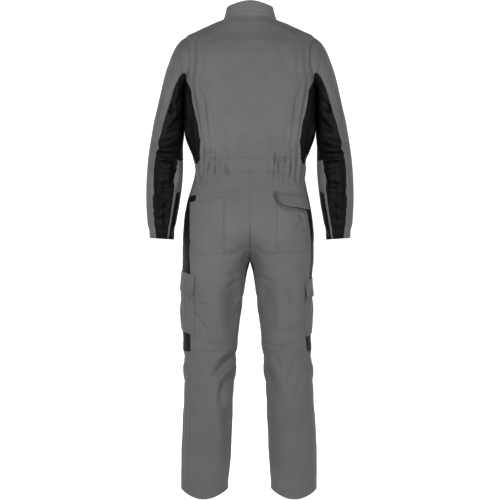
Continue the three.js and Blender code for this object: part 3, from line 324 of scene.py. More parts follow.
def collar_surface(angle, share):
    foot = body(angle, neckline_height(angle))
    sine, cosine = sind(angle), cosd(angle)
    half_y = np.where(cosine > 0, COLLAR_BACK, COLLAR_FRONT)
    radius = ((abs(sine) / COLLAR_HALF_WIDTH) ** COLLAR_POWER
              + (abs(cosine) / half_y) ** COLLAR_POWER) ** (-1 / COLLAR_POWER)
    top = stack(sine * radius, -cosine * radius, collar_top_height(angle))
    share = np.asarray(share, float)[..., None]
    return foot * (1 - share) + top * share


def waist_top(angle):
    turn = abs(angle)
    return WAIST_TOP - WAIST_SIDE_DROP * (smooth(70.5, 77, turn) - smooth(99, 105.5, turn))


def waist_bottom(angle):
    return mix(WAIST_BOTTOM_CENTRE, WAIST_BOTTOM_SIDE, smooth(15, 60, abs(angle)))


def yoke_seam(x):
    return mix(YOKE_CENTRE, YOKE_SIDE, smooth(20, 185, abs(x)))


def hem_height(angle):
    sine = sind(angle)
    return (HEM_LOW + HEM_RISE * (1 - np.maximum(0, sine) ** 2)
            - HEM_FRONT_DROP * np.maximum(0, -sine) ** 2)


# Creases: each runs along a curve seen from behind ("b"), in front ("f"), or on an outer side
# ("s", where the first number is Y); a positive depth stands out and a negative one sinks in

CREASES = []


def crease(plane, points, width, depth, skew=0.0):
    CREASES.append((plane, np.array(points, float), width, CREASE_FORCE * depth, skew))


def creases(plane, rows, sides=(1,), deeper=1.0, skew=0.0):
    """Adds a crease on each side for each row: X and Z at its start, middle and end, its width
    and depth, and the skew of its section where that isn't the one given for all."""
    for side in sides:
        for x1, z1, x2, z2, x3, z3, width, depth, *own in rows:
            crease(plane, [(side * x1, z1), (side * x2, z2), (side * x3, z3)], width,
                   depth * deeper, *(own or [skew]))


def curve_through(points, count=14):
    """A smooth line through three points."""
    t = np.linspace(0, 1, count)[:, None]
    a, b, c = points
    b = 2 * b - (a + c) / 2
    return a * (1 - t) ** 2 + 2 * b * t * (1 - t) + c * t**2


def crease_relief(points, normals):
    """Height of all the creases at points with their outward normals."""
    total = np.zeros(points.shape[:-1])
    facing = {
        "b": smooth(0.12, 0.5, -normals[..., 1]),
        "f": smooth(0.12, 0.5, normals[..., 1]),
        "s": smooth(0.3, 0.7, abs(normals[..., 0])),
    }
    for plane, ends, width, depth, skew in CREASES:
        if plane == "s":
            side = np.sign(ends[0, 2])
            across, line = points[..., 1], ends[:, :2]
            near = facing["s"] * (points[..., 0] * side > 0)
        else:
            across, line = points[..., 0], ends
            near = facing[plane]
        up = points[..., 2]
        reach = 3 * width
        use = ((near > 0) & (across > line[:, 0].min() - reach) & (across < line[:, 0].max() + reach)
               & (up > line[:, 1].min() - reach) & (up < line[:, 1].max() + reach))
        if not use.any():
            continue
        path = curve_through(line)
        px, pz = across[use], up[use]
        best = np.full(px.shape, 1e9)
        signed = np.zeros(px.shape)
        along = np.zeros(px.shape)
        for k in range(len(path) - 1):
            d = path[k + 1] - path[k]
            size = np.hypot(*d)
            t = np.clip(((px - path[k, 0]) * d[0] + (pz - path[k, 1]) * d[1]) / size**2, 0, 1)
            dx, dz = px - path[k, 0] - t * d[0], pz - path[k, 1] - t * d[1]
            away = np.hypot(dx, dz)
            closer = away < best
            best = np.where(closer, away, best)
            signed = np.where(closer, np.sign(dx * d[1] - dz * d[0]) * away, signed)
            along = np.where(closer, (k + t) / (len(path) - 1), along)
        w = width * (0.55 + 0.45 * np.sin(np.pi * along)) * (1 + skew * np.sign(signed) * np.tanh(
            abs(signed) / width))
        s = signed / w
        shape = np.exp(-(s**2)) - 0.32 * np.exp(-((abs(s) - 1.9) ** 2) / 0.6)
        fade = np.sin(np.pi * np.clip(along, 0.001, 0.999)) ** 0.8
        total[use] += near[use] * depth * shape * fade
    return total


def lattice(points, size, seed):
    """Smooth noise from -1 to 1 with cells of the given size."""
    p = points / np.array(size, float) + 7.3 * seed
    base = np.floor(p).astype(np.int64)
    f = p - base
    f = f * f * (3 - 2 * f)

    def value(i, j, k):
        h = (i * 73856093) ^ (j * 19349663) ^ (k * 83492791) ^ (seed * 2654435761)
        h = (h ^ (h >> 13)) * 1274126177 & 0xFFFFFFFF
        return ((h ^ (h >> 16)) & 0xFFFF) / 32767.5 - 1

    total = 0
    for i in (0, 1):
        for j in (0, 1):
            for k in (0, 1):
                weight = (abs(1 - i - f[..., 0]) * abs(1 - j - f[..., 1]) * abs(1 - k - f[..., 2]))
                total = total + weight * value(base[..., 0] + i, base[..., 1] + j, base[..., 2] + k)
    return total


def drape(points):
    """Slack of worn cotton: broad soft waves with short shallow creases among them."""
    warp = 16 * lattice(points, (75, 75, 75), 3)[..., None] * np.array([1, 1, -0.6])
    p = points + warp
    broad = 0.9 * lattice(p, (64, 64, 150), 1) + 0.35 * lattice(p, (30, 30, 60), 2)
    ridge = 1 - abs(lattice(p, (44, 44, 74), 5))
    patch = smooth(-0.2, 0.6, lattice(points, (120, 120, 120), 8))
    return broad + 0.9 * patch * (ridge**5 - 0.2)


def gather_relief(points):
    """Pleats of the elastic waist, deepest in the casing and fading above and below it."""
    x, y, z = np.moveaxis(points, -1, 0)
    behind = smooth(25, -25, y)
    total = np.zeros(x.shape)
    for sign in BOTH:
        for index, (place, strength) in enumerate(GATHERS[sign]):
            lean = (z - 1060) * (0.02 + 0.07 * math.sin(index * 1.7 + sign))
            swell = 1 + 0.35 * np.sin((z - 1035) / 9 + index * 2.3)
            d = (x - sign * place - lean) / (4.6 + 0.9 * math.cos(index * 2.9))
            total -= GATHER_DEPTH * strength * swell * np.exp(-d * d)
            d = (x - sign * (place + 7.5) - lean) / 4.2
            total += GATHER_RIDGE * strength * np.exp(-d * d)
    inside = smooth(1024, 1038, z) * smooth(1096, 1082, z)
    above = smooth(1080, 1088, z) * smooth(1140, 1088, z) * 0.6
    below = smooth(1036, 1026, z) * smooth(996, 1032, z) * 0.75
    return behind * total * np.maximum(inside, np.maximum(above, below))


# Main creases, read off the photograph behind and made alike where it doesn't show them

# Upper back: long slanting folds from under the shoulder blades to the waist
for sign, deeper in ((-1, 1.15), (1, 1.0)):
    creases("b", [
        (186, 1352, 171, 1268, 150, 1150, 6.5, -3.4), (176, 1340, 160, 1250, 139, 1120, 6, 2.2),
        (168, 1330, 151, 1240, 133, 1105, 6.5, -3.2), (150, 1300, 137, 1215, 124, 1100, 6, -2.6),
        (196, 1300, 184, 1230, 166, 1140, 6.5, -3.4), (190, 1260, 176, 1190, 160, 1100, 6, 2.4),
        (200, 1240, 190, 1180, 176, 1110, 6.5, -3.0), (126, 1250, 118, 1180, 110, 1098, 7, -1.7),
        (70, 1180, 74, 1140, 82, 1094, 8, -1.5), (158, 1150, 163, 1125, 164, 1094, 6, -2.8),
        (146, 1146, 150, 1120, 150, 1094, 6, -2.4),
    ], (sign,), deeper, 0.25 * sign)
    creases("b", [(158, 1462, 150, 1390, 156, 1320, 9, -1.2)], (sign,), deeper)
creases("b", [
    (-178, 1478, -172, 1410, -176, 1345, 7.5, -3.570975, 0.3),
    (178, 1478, 172, 1410, 176, 1345, 7.5, -1.8, 0.3),
    (-66, 1420, -28, 1330, -4, 1210, 30, -3.4), (70, 1424, 34, 1330, 6, 1206, 28, -3.2),
    (-18, 1170, -24, 1136, -22, 1094, 8, -1.3), (36, 1160, 32, 1128, 38, 1094, 8, -1.3),
    (-60, 1500, -96, 1470, -140, 1452, 14, -0.9), (62, 1500, 98, 1472, 142, 1455, 14, -0.8),
    (-142, 1104, -118, 1112, -92, 1100, 7, 1.2), (104, 1102, 128, 1114, 150, 1104, 7, 1.2),
    (-160, 1020, -138, 1010, -112, 1022, 6, -1.3), (104, 1022, 128, 1008, 146, 1018, 6, -1.3),
])
creases("b", [(168, 1440, 164, 1385, 170, 1310, 7, 0.9)], BOTH)

# Sleeves: a small fold below the shoulder, pulls at the elbow, rings above the cuff
creases("b", [
    (213, 1330, 222, 1372, 236, 1405, 8, -5.1), (222, 1285, 240, 1250, 262, 1235, 9, -5.1),
    (218, 1228, 240, 1190, 270, 1172, 9, -5.4), (220, 1176, 246, 1146, 286, 1138, 8, 4.4),
    (222, 1140, 250, 1116, 300, 1122, 9, -6.1), (224, 1092, 256, 1082, 306, 1098, 8, -5.1),
    (226, 1060, 250, 1046, 286, 1058, 8, 3.7), (228, 1030, 262, 1004, 300, 1010, 9, -4.1),
    (322, 1160, 300, 1128, 270, 1100, 9, -4.1), (326, 1010, 306, 980, 284, 968, 9, -3.1),
    (300, 1210, 282, 1260, 268, 1330, 13, -3.4), (262, 940, 290, 925, 322, 934, 8, -2.7),
    (252, 900, 285, 895, 322, 903, 6, -1.4), (252, 884, 285, 879, 322, 887, 6, 1.3),
    (252, 868, 285, 863, 322, 871, 6, -1.2),
], BOTH)
creases("f", [
    (224, 1130, 262, 1112, 312, 1134, 9, -7.1), (222, 1096, 262, 1088, 316, 1088, 8, 5.8),
    (224, 1058, 266, 1062, 318, 1046, 9, -6.5), (222, 1180, 252, 1158, 298, 1180, 9, -5.1),
    (226, 1010, 262, 1024, 318, 1000, 9, -4.4), (216, 1300, 232, 1340, 240, 1400, 11, -5.8),
    (230, 1260, 256, 1300, 270, 1370, 11, -4.4), (262, 930, 290, 915, 322, 930, 8, -3.1),
], BOTH)

# Dark panels under the arms: long folds that follow the seam, and short pulls across them
for sign, deeper in ((-1, 1.2), (1, 1.0)):
    creases("b", [
        (204, 1290, 202, 1230, 188, 1150, 6, -5.0, 0.3), (232, 1330, 246, 1270, 244, 1210, 9, -4.6, 0.3),
        (276, 1080, 284, 1010, 282, 940, 9, 3.8),
    ], (sign,), deeper)
creases("b", [
    (210, 1230, 205, 1180, 190, 1100, 6, 4.2), (196, 1180, 200, 1140, 196, 1096, 6, -4.4),
    (258, 1310, 272, 1240, 276, 1180, 8, 4.0), (240, 1090, 238, 1040, 250, 980, 9, -4.6, 0.3),
    (300, 1050, 304, 990, 298, 920, 8, -4.0), (262, 960, 270, 915, 266, 868, 8, -4.0),
], BOTH)

# Seat, thighs, behind the knees, shins, and last the small puckers beside the pockets
creases("b", [
    (-14, 805, -52, 782, -104, 788, 11, -2.6, 0.2), (14, 805, 50, 780, 100, 785, 11, -2.4, 0.2),
    (-40, 905, -28, 855, -14, 815, 9, -1.8), (38, 895, 26, 850, 14, 812, 9, -1.7),
    (-30, 700, -52, 684, -84, 676, 8, -1.8, 0.2), (-30, 736, -56, 722, -92, 720, 9, -2.0),
    (-40, 730, -48, 640, -58, 520, 27, -9.6, 0.3), (38, 720, 45, 640, 54, 530, 25, -6.8, -0.3),
    (32, 716, 58, 700, 92, 704, 9, -2.0), (-187, 612, -158, 572, -130, 532, 10, -3.6, 0.3),
    (-176, 640, -146, 604, -118, 572, 8, 2.6), (-186, 650, -160, 640, -132, 636, 7, 2.0),
    (60, 660, 72, 600, 66, 540, 13, -2.0), (120, 690, 132, 640, 126, 580, 12, -1.8),
    (150, 560, 120, 540, 84, 546, 10, -2.4), (56, 520, 84, 504, 132, 498, 8, 2.4),
    (168, 900, 150, 880, 122, 872, 7, -2.2), (176, 880, 160, 858, 140, 846, 7, 2.0),
    (-182, 880, -150, 868, -118, 872, 7, -1.8), (-38, 474, -74, 440, -128, 386, 12, -8.6, 0.35),
    (-46, 496, -86, 470, -130, 436, 9, 3.2), (-46, 436, -78, 412, -112, 380, 8, 4.0),
    (-44, 424, -78, 380, -96, 300, 13, -8.0, -0.25), (-42, 372, -62, 330, -78, 280, 11, 3.0),
    (-84, 330, -78, 280, -74, 200, 15, -3.6), (-150, 520, -124, 500, -84, 496, 9, -2.8),
    (-186, 440, -160, 410, -128, 396, 10, -2.6), (-150, 384, -136, 340, -120, 300, 9, -2.6),
    (150, 470, 136, 430, 112, 372, 9, -4.2, -0.3), (160, 476, 144, 440, 124, 380, 8, 2.6),
    (76, 474, 90, 440, 104, 414, 9, -3.0), (46, 440, 66, 390, 90, 320, 20, -6.0),
    (146, 510, 112, 494, 80, 498, 9, -2.8), (178, 420, 156, 380, 146, 330, 10, -2.2),
    (150, 352, 126, 336, 100, 340, 8, 2.0), (96, 330, 92, 260, 84, 180, 22, -3.4),
    (-56, 410, -60, 240, -66, 30, 17, -5.4), (58, 440, 64, 250, 70, 30, 16, -4.8),
    (-198, 452, -201, 260, -203, 40, 5, 2.4), (186, 430, 196, 250, 202, 50, 5, 2.4),
    (-112, 882, -96, 878, -82, 883, 4.5, -1.6), (-112, 872, -98, 869, -84, 873, 4.5, 1.2),
    (-110, 820, -96, 817, -82, 822, 4.5, -1.6), (-108, 810, -96, 808, -84, 811, 4.5, 1.2),
    (-134, 838, -128, 800, -134, 770, 8, -1.6), (150, 914, 164, 896, 176, 884, 7, -3.0),
    (158, 906, 172, 888, 182, 868, 6, 2.4), (-205, 700, -190, 660, -202, 620, 7, -2.6),
    (-208, 660, -194, 620, -200, 590, 7, 2.2), (196, 690, 184, 650, 190, 610, 7, -2.4),
    (200, 640, 190, 600, 194, 560, 7, 2.0), (-188, 330, -176, 240, -182, 150, 13, -2.0),
    (-70, 220, -84, 150, -80, 80, 13, -2.0), (84, 210, 76, 140, 84, 70, 13, -1.9),
    (176, 300, 168, 210, 178, 110, 13, -1.8), (-128, 160, -136, 110, -124, 52, 14, -1.6),
    (136, 170, 144, 120, 136, 60, 14, -1.6), (-200, 92, -170, 66, -140, 58, 9, -1.6),
    (196, 88, 168, 62, 140, 56, 9, -1.5),
])

# Front: like folds under the chest, at the lap and over the knees
creases("f", [
    (126, 1330, 128, 1230, 112, 1100, 12, -3.8), (100, 1260, 98, 1180, 88, 1096, 10, 2.4),
    (168, 1360, 164, 1270, 150, 1150, 12, -3.0), (52, 1180, 46, 1140, 54, 1094, 8, -2.2),
    (30, 820, 84, 838, 150, 870, 11, -4.0), (26, 790, 74, 796, 130, 812, 10, -3.4),
    (34, 862, 96, 884, 160, 900, 11, 2.4), (60, 512, 110, 486, 172, 470, 11, -3.6),
    (56, 470, 104, 452, 168, 430, 10, 2.6), (60, 434, 108, 420, 160, 386, 11, -3.4),
    (86, 330, 96, 240, 88, 150, 14, -2.4), (168, 340, 160, 250, 168, 160, 14, -2.2),
    (150, 150, 136, 96, 146, 50, 13, -1.8), (106, 700, 112, 640, 100, 570, 13, -2.2),
], BOTH)
creases("f", [(-12, 740, -44, 722, -84, 716, 9, -2.4), (12, 740, 46, 720, 88, 708, 9, -2.6)])
# Outer side of the legs: Y and Z in the middle, Y at the top and bottom ends, and depth
for sign in BOTH:
    for y, z, top, low, depth in ((-20, 620, 20, -40, -2.4), (10, 470, 40, -44, -3.0),
                                  (0, 410, -36, 40, 2.4), (-10, 300, 0, -20, -2.0),
                                  (16, 160, 20, 6, -2.0), (20, 850, 40, -20, -1.8)):
        crease("s", [(top, z + 44, sign), (y, z, sign), (low, z - 44, sign)], 12, depth)


# Panels

NEAR_EDGE = np.array([0, 0.9, 1.9, 3.4, 4.6, 5.6, 7.0, 9.0])  # rows of points beside an edge
TRIAL_ROWS, TRIAL_COLUMNS = 61, 41  # of the grid that measures a panel before it is laid out
PUCKER, PUCKER_SIZE, PUCKER_REACH = 0.45, 9, 8  # height, length and reach in from an edge
PANELS = {}


def run_of(points, axis=0):
    """Distance along rows of points from their start."""
    steps = np.linalg.norm(np.diff(points, axis=axis), axis=-1)
    zero = np.zeros_like(np.take(steps, [0], axis=axis))
    return np.concatenate([zero, np.cumsum(steps, axis=axis)], axis=axis)


def spaced(lengths, step):
    """Distances across strips of the given lengths, closer together by both edges."""
    lengths = np.asarray(lengths, float)[:, None]
    edge = NEAR_EDGE * np.minimum(1, lengths / 26)
    inner = max(1, int(round((lengths.mean() - 2 * edge[:, -1].mean()) / step)))
    middle = edge[:, -1:] + (lengths - 2 * edge[:, -1:]) * np.linspace(0, 1, inner + 1)[1:-1]
    return np.concatenate([edge, middle, lengths - edge[:, ::-1]], 1)


def normals_of(points, sign):
    """Outward normals of a panel, which is mirrored where the sign is -1."""
    normal = sign * np.cross(np.gradient(points, axis=1), np.gradient(points, axis=0))
    return normal / (np.linalg.norm(normal, axis=-1, keepdims=True) + 1e-12)


EDGES = {  # a raised band's height, with where it rises and falls, then grooves and ridges
    "fine": ((), ((-0.35, 0, 1.3),)),
    "seam": ((), ((-0.8, 0, 1.5), (0.25, 4, 2.4))),
    "felled": ((0.65, 0.6, 1.8, 6.2, 7.6), ((-0.8, 0, 1.2), (-0.35, 5.0, 0.8))),
    "double": ((0.6, 0.6, 1.8, 9.4, 11.0), ((-0.8, 0, 1.2), (-0.3, 1.9, 0.7), (-0.3, 8.0, 0.9))),
    "hem": ((0.5, -2, -1, 17, 20), ((-0.3, 15.5, 1.2),)),
    "free": ((), ((-0.25, 0, 1.1), (-0.25, 4.6, 0.9))),
}


def edge_shape(kind, d):
    """Height of the cloth at a distance from an edge of this kind."""
    band, waves = EDGES[kind]
    height = sum(size * mound(d, place, width) for size, place, width in waves)
    if band:
        size, low, high, fall, flat = band
        height = height + size * (smooth(low, high, d) - smooth(fall, flat, d))
    return height


def add_object(name, verts, faces):
    """An object from points in millimetres with heights from the floor."""
    verts = verts / 1000
    verts[:, 2] -= NECK_HEIGHT / 1000
    mesh = bpy.data.meshes.new(name)
    mesh.from_pydata(verts.tolist(), [], faces.tolist())
    mesh.shade_smooth()
    obj = bpy.data.objects.new(name, mesh)
    bpy.context.scene.collection.objects.link(obj)
    return obj


def build_mesh(name, outer, inner, uv_across, uv_along):
    rows, columns = outer.shape[:2]
    count = rows * columns
    verts = np.concatenate([outer.reshape(-1, 3), inner.reshape(-1, 3)])
    at = np.arange(count).reshape(rows, columns)
    a, b, c, d = at[:-1, :-1], at[:-1, 1:], at[1:, 1:], at[1:, :-1]
    faces = [np.stack([a, b, c, d], -1).reshape(-1, 4),
             np.stack([a, d, c, b], -1).reshape(-1, 4) + count]
    rim = np.concatenate([at[0, :-1], at[:-1, -1], at[-1, :0:-1], at[:0:-1, 0]])
    after = np.roll(rim, -1)
    faces.append(np.stack([after, rim, rim + count, after + count], -1))
    quads = np.concatenate(faces)
    # The first face looks out where its normal follows from inner to outer
    p = verts[quads[0]]
    if np.dot(np.cross(p[1] - p[0], p[3] - p[0]), verts[quads[0][0]] - verts[quads[0][0] + count]) < 0:
        quads = quads[:, ::-1]
    obj = add_object(name, verts, quads)
    weave = np.stack([np.tile(uv_across.ravel(), 2), np.tile(uv_along.ravel(), 2)], -1) / 1000
    layer = obj.data.uv_layers.new(name="weave")
    layer.data.foreach_set("uv", weave[quads.ravel()].ravel())
    obj.data.set_sharp_from_angle(angle=math.radians(60))
    return obj


def add_panel(node, material, place, surface, sign, edges, meets, step=4.6, lift=None, slack=1.0,
              held="hung", extra=None, ease=1.0, thick=CLOTH):
    """Edges gives the kinds of its s = 0, s = 1, t = 0 and t = 1 sides; lift is a laid
    piece's distance from the cloth beneath it."""
    fine = np.linspace(0, 1, TRIAL_ROWS)[:, None]
    run = run_of(surface(*place(0.5 + 0 * fine, fine))[:, 0])
    along = spaced([run[-1]], step)[0]
    t = np.interp(along, run, fine[:, 0])[:, None]
    share = np.linspace(0, 1, TRIAL_COLUMNS)[None, :]
    s, tt = np.broadcast_arrays(share, t)
    runs = run_of(surface(*place(s, tt)), axis=1)
    across = spaced(runs[:, -1], step)
    s = np.stack([np.interp(across[k], runs[k], share[0]) for k in range(len(t))])
    tt = np.broadcast_to(t, s.shape)
    base = surface(*place(s, tt))
    normal = normals_of(base, sign)
    height = slack * drape(base) + crease_relief(base, normal) + gather_relief(base)
    near = [across, across[:, -1:] - across, along[:, None] + 0 * across,
            along[-1] - along[:, None] + 0 * across]
    closest = np.minimum.reduce(near)
    pucker = PUCKER * lattice(base, PUCKER_SIZE, 6) * np.exp(-closest / PUCKER_REACH)
    shape = sum(edge_shape(kind, d) for kind, d in zip(edges.split(), near))
    if lift is None:
        height = height + pucker + shape
    else:
        height = height + lift(s, tt) + thick + 0.6 * pucker + shape
    if extra is not None:
        height = height + extra(base, s, tt)
    # Folds are shallow where the sleeve hangs close against the body
    beside = mound(abs(base[..., 0]), 210, 5) * smooth(1110, 1160, base[..., 2])
    height = height * (1 - 0.9 * beside * smooth(1330, 1300, base[..., 2]))
    shift = normal * height[..., None]
    # The middle seam stays on its plane
    middle = smooth(745, 765, base[..., 2]) * (1 - smooth(0.5, 14, abs(base[..., 0])))
    shift[..., 0] *= 1 - middle * (lift is None)
    outer = base + shift
    outward = normals_of(outer, sign)
    if lift is None:
        inner = outer - outward * thick
    else:
        inner = outer - normal * np.minimum(thick + shape, thick)[..., None]
    obj = build_mesh(node + "_cloth", outer, inner, across, along[:, None] + 0 * across)
    obj.data.materials.append(material)
    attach(obj, "suit")
    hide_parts(node)
    wide = run_of(outer, axis=1)[:, -1].max() / 1000 * ease
    tall = run_of(outer, axis=0)[-1].max() / 1000
    first = np.cross(outer[:-1, 1:] - outer[:-1, :-1], outer[1:, :-1] - outer[:-1, :-1])
    second = np.cross(outer[1:, :-1] - outer[1:, 1:], outer[:-1, 1:] - outer[1:, 1:])
    area = (np.linalg.norm(first, axis=-1).sum() + np.linalg.norm(second, axis=-1).sum()) / 2e6
    area = min(area * ease, wide * tall)
    PANELS[node] = {"points": outer, "normals": outward, "across": across, "along": along,
                    "dark": material == black_cloth}


# Torso


def torso_height(t):
    return mix(WAIST_TOP, neckline_height(np.float64(SHOULDER_SEAM_ANGLE)), t)


def torso_row(height, angle, edge):
    share = np.minimum((height - WAIST_TOP) / (neckline_height(edge) - WAIST_TOP), 1)
    return mix(WAIST_TOP, neckline_height(angle), share)


def back_edge(height):
    arm = np.minimum(armhole_angle(armhole_around(height)), SHOULDER_SEAM_ANGLE)
    return np.where(height <= SIDE_PANEL_PEAK, TORSO_SEAMS(height)["behind"], arm)


def front_edge(height):
    arm = np.maximum(armhole_angle(360 - armhole_around(height)), SHOULDER_SEAM_ANGLE)
    arm = np.where(height > ARMHOLE_MIDDLE + ARMHOLE_HALF, SHOULDER_SEAM_ANGLE, arm)
    return np.where(height <= SIDE_PANEL_PEAK, TORSO_SEAMS(height)["before"], arm)


def zip_edge(depth):
    return 180 - np.degrees(np.arctan(ZIP_EDGE / depth))


def place_back(s, t):
    height = torso_height(t)
    edge = back_edge(height)
    angle = (2 * s - 1) * edge
    return angle, torso_row(height, angle, edge)


def place_front(sign):
    def place(s, t):
        height = torso_height(t)
        edge = front_edge(height)
        depth = BODY(torso_row(height, 180 + 0 * s, edge))["front"]
        angle = mix(edge, zip_edge(depth), s)
        return sign * angle, torso_row(height, angle, edge)
    return place


def seam_angle(height, s):
    seams = TORSO_SEAMS(height)
    return mix(seams["behind"], seams["before"], s)


def side_peak(s):
    def inside(height):
        angle = seam_angle(height, s)
        around = armhole_around(height)
        edge = np.where(angle < 90, armhole_angle(around), armhole_angle(360 - around))
        return np.where(abs(90 - angle) < abs(90 - edge), 1.0, 0.0)
    top = solve(inside, ARMHOLE_MIDDLE - ARMHOLE_HALF, SIDE_PANEL_PEAK, 0.5 + 0 * s)
    return np.where((s <= 0) | (s >= 1), SIDE_PANEL_PEAK, top)


def place_side(sign):
    def place(s, t):
        top = side_peak(s)
        bottom = waist_top(seam_angle(WAIST_TOP + 0 * s, s))
        z = mix(WAIST_TOP, top, t) - (WAIST_TOP - bottom) * (1 - smooth(0, 0.35, t))
        return sign * seam_angle(z, s), z
    return place


def place_casing(s, t):
    angle = mix(-90, 90, s)
    return angle, mix(waist_bottom(angle), waist_top(angle), t)


def casing_puff(points, s, t):
    """The elastic casing swells between its seams where it is gathered."""
    aside = smooth(62, 80, abs(points[..., 0]))
    return 2.4 * aside * np.sin(np.pi * t) ** 0.7


def place_waistband(sign):
    def place(s, t):
        angle = mix(90, zip_edge(116), s)
        return sign * angle, mix(waist_bottom(angle), waist_top(angle), t)
    return place


def place_collar(s, t):
    return (2 * s - 1) * zip_edge(COLLAR_FRONT), mix(-0.07, 1, t)


def collar_roll(points, s, t):
    """A rolled seam above the neckline, then two stitched rows below the top edge."""
    return (1.7 * mound(t, 0.2, 0.05) - 0.8 * mound(t, 0.33, 0.05) - 0.7 * mound(t, 0.72, 0.05)
            - 0.6 * mound(t, 0.86, 0.04))


# Trousers


def crossing(sign, z, distance, turn):
    """Angle at which the inner leg stands at a distance from the middle plane."""
    return turn * solve(lambda a: leg_x(sign, turn * a, z), 0.01, 95, distance + 0 * z)


def inner_angle(sign, z, turn, clear):
    return np.where(leg_x(sign, 0 * z, z) >= clear, 0, crossing(sign, z, clear, turn))


def back_angle(sign, distance, z, low=60):
    """Angle at which the leg's back stands at a distance from the middle plane."""
    return solve(lambda a: leg_x(sign, a, z), low, 180, distance + 0 * z)


def side_angle(sign, z):
    return back_angle(sign, LEG_SEAMS[sign](z)["behind"], z, 90)


def yoke_height(sign, angle):
    return yoke_seam(leg_x(sign, angle, YOKE_SIDE + 0 * angle))


def seat_height(height, top):
    """Heights above the seat's level, spread evenly up to the panel's top."""
    share = (height - SEAT_LEVEL) / (YOKE_SIDE - SEAT_LEVEL)
    return np.where(height <= SEAT_LEVEL, height, mix(SEAT_LEVEL, top, share))


def low_height(angle, height):
    """Heights near the floor, spread evenly down to the hem."""
    return np.where(height >= HEM_BAND, height, mix(hem_height(angle), HEM_BAND, height / HEM_BAND))


def place_leg(sign, part, low, high):
    def place(s, t):
        def ends(t):
            z = mix(low, high, t)
            if part == "back":
                inner = inner_angle(sign, seat_height(z, YOKE_CENTRE), 1, CENTRE_GAP)
                return np.stack([inner, side_angle(sign, z)])
            before = LEG_SEAMS[sign](z)["before"]
            if part == "side":
                return np.stack([side_angle(sign, z), before])
            clear = mix(CENTRE_GAP, ZIP_EDGE, smooth(ZIP_BOTTOM - 14, ZIP_BOTTOM - 4, z))
            return np.stack([before, 360 + inner_angle(sign, z, -1, clear)])
        start, end = ends(t[:, 0])
        angle = mix(start[:, None], end[:, None], s)
        height = mix(low, high, t) + 0 * s
        if low > 100 and part != "front":
            return angle, seat_height(height, yoke_height(sign, angle))
        return angle, low_height(angle, height)
    return place


def place_yoke(sign):
    def place(s, t):
        level = mix(YOKE_SIDE, WAIST_BOTTOM_SIDE, t[:, 0])
        middle = mix(YOKE_CENTRE, WAIST_BOTTOM_CENTRE, t[:, 0])
        start = inner_angle(sign, middle, 1, CENTRE_GAP)[:, None]
        angle = mix(start, LEG_SEAMS[sign](level)["before"][:, None], s)
        top = LEG_SURFACE[sign](angle, WAIST_BOTTOM_SIDE + 0 * angle)
        turn = np.degrees(np.arctan2(abs(top[..., 0]), -top[..., 1]))
        return angle, mix(yoke_height(sign, angle), waist_bottom(turn), t)
    return place


FLAP_INNER, FLAP_OUTER, FLAP_TOP, FLAP_SLOPE = 79, 176, 981, 11
FLAP_PRESS, CLEFT_DEPTH = 6.4, 17


def flap_edge(distance):
    """Height of the flap's free edge, which turns up in a wide corner near the middle."""
    out = distance - FLAP_INNER
    bend = np.clip(1 - out / 38, 0, 1)
    slant = mix(931, 921, np.clip(out / (FLAP_OUTER - FLAP_INNER), 0, 1) ** 2)
    return slant + 42 * (1 - np.sqrt(1 - 0.998 * bend**2))


def under_flap(points, s, t):
    """The cloth is pressed in along the flap's free edge."""
    x, y, z = np.moveaxis(points, -1, 0)
    d = (z - flap_edge(x)) / np.where(z < flap_edge(x), 7, 14)
    near = smooth(70, 79, x) * smooth(186, 172, x) * smooth(20, -30, y)
    return -FLAP_PRESS * near * np.exp(-d * d) * smooth(982, 970, z)


def seat_cleft(points, s, t):
    """The cloth is drawn in to a sharp valley at the middle seam, deepest at the crotch."""
    x, y, z = np.moveaxis(points, -1, 0)
    drawn = CLEFT_DEPTH * smooth(965, CROTCH_HEIGHT + 7, z) ** 1.6 * smooth(640, 750, z)
    return -drawn * np.exp(-abs(x) / 21) * smooth(20, -30, y) + under_flap(points, s, t)


# Pockets

BACK_POCKET = {  # inner, outer, top inner, top outer, bottom, chamfer
    -1: (81, 189, 962, 948, 785, 9),
    1: (84, 174, 962, 952, 791, 4),
}
CARGO_LAP, CARGO_FLAP_ANGLE = 6, 2  # how far the flap reaches over the pocket
CARGO = {  # back edge, front angle, top, bottom, drop at the back, top of the flap
    -1: (176, 236, 683, 548, 20, 738),
    1: (175, 246, 664, 537, 14, 715),
}


def bulge(s, t):
    return np.sqrt(np.maximum(sind(180 * s) * sind(180 * t), 0))


def place_back_pocket(sign):
    inner, outer, top_inner, top_outer, bottom, chamfer = BACK_POCKET[sign]

    def place(s, t):
        distance = mix(inner, outer, s) - chamfer * s * smooth(0.35, 0, t)
        z = mix(bottom, mix(top_inner, top_outer, s), t)
        return back_angle(sign, distance, z), z
    return place


def place_flap(s, t):
    distance = mix(FLAP_INNER, FLAP_OUTER, s)
    z = mix(flap_edge(distance), FLAP_TOP - FLAP_SLOPE * s, t)
    return back_angle(1, distance, z), z


def flap_lift(s, t):
    return mix(LAY_GAP, 2 * LAY_GAP + SOLID_CLOTH + 2, smooth(1, 0.7, t)) + 9 * (1 - t) ** 1.5


def pocket_lift(s, t):
    return LAY_GAP + 2 * bulge(s, t)


def cargo_lift(s, t):
    return LAY_GAP + 5 * bulge(s, t)


def cargo_flap_lift(s, t):
    return LAY_GAP + (LAY_GAP + SOLID_CLOTH + 4) * (1 - t)


def place_cargo(sign, flap):
    back, front, top, bottom, drop, flap_top = CARGO[sign]

    def place(s, t):
        low, high = (top - CARGO_LAP, flap_top) if flap else (bottom, top)
        z = mix(low, high, t) - drop * (1 - s) ** 2
        wider = CARGO_FLAP_ANGLE if flap else 0
        return mix(back_angle(sign, back, z) - wider, front + wider, s), z
    return place


# Sleeves


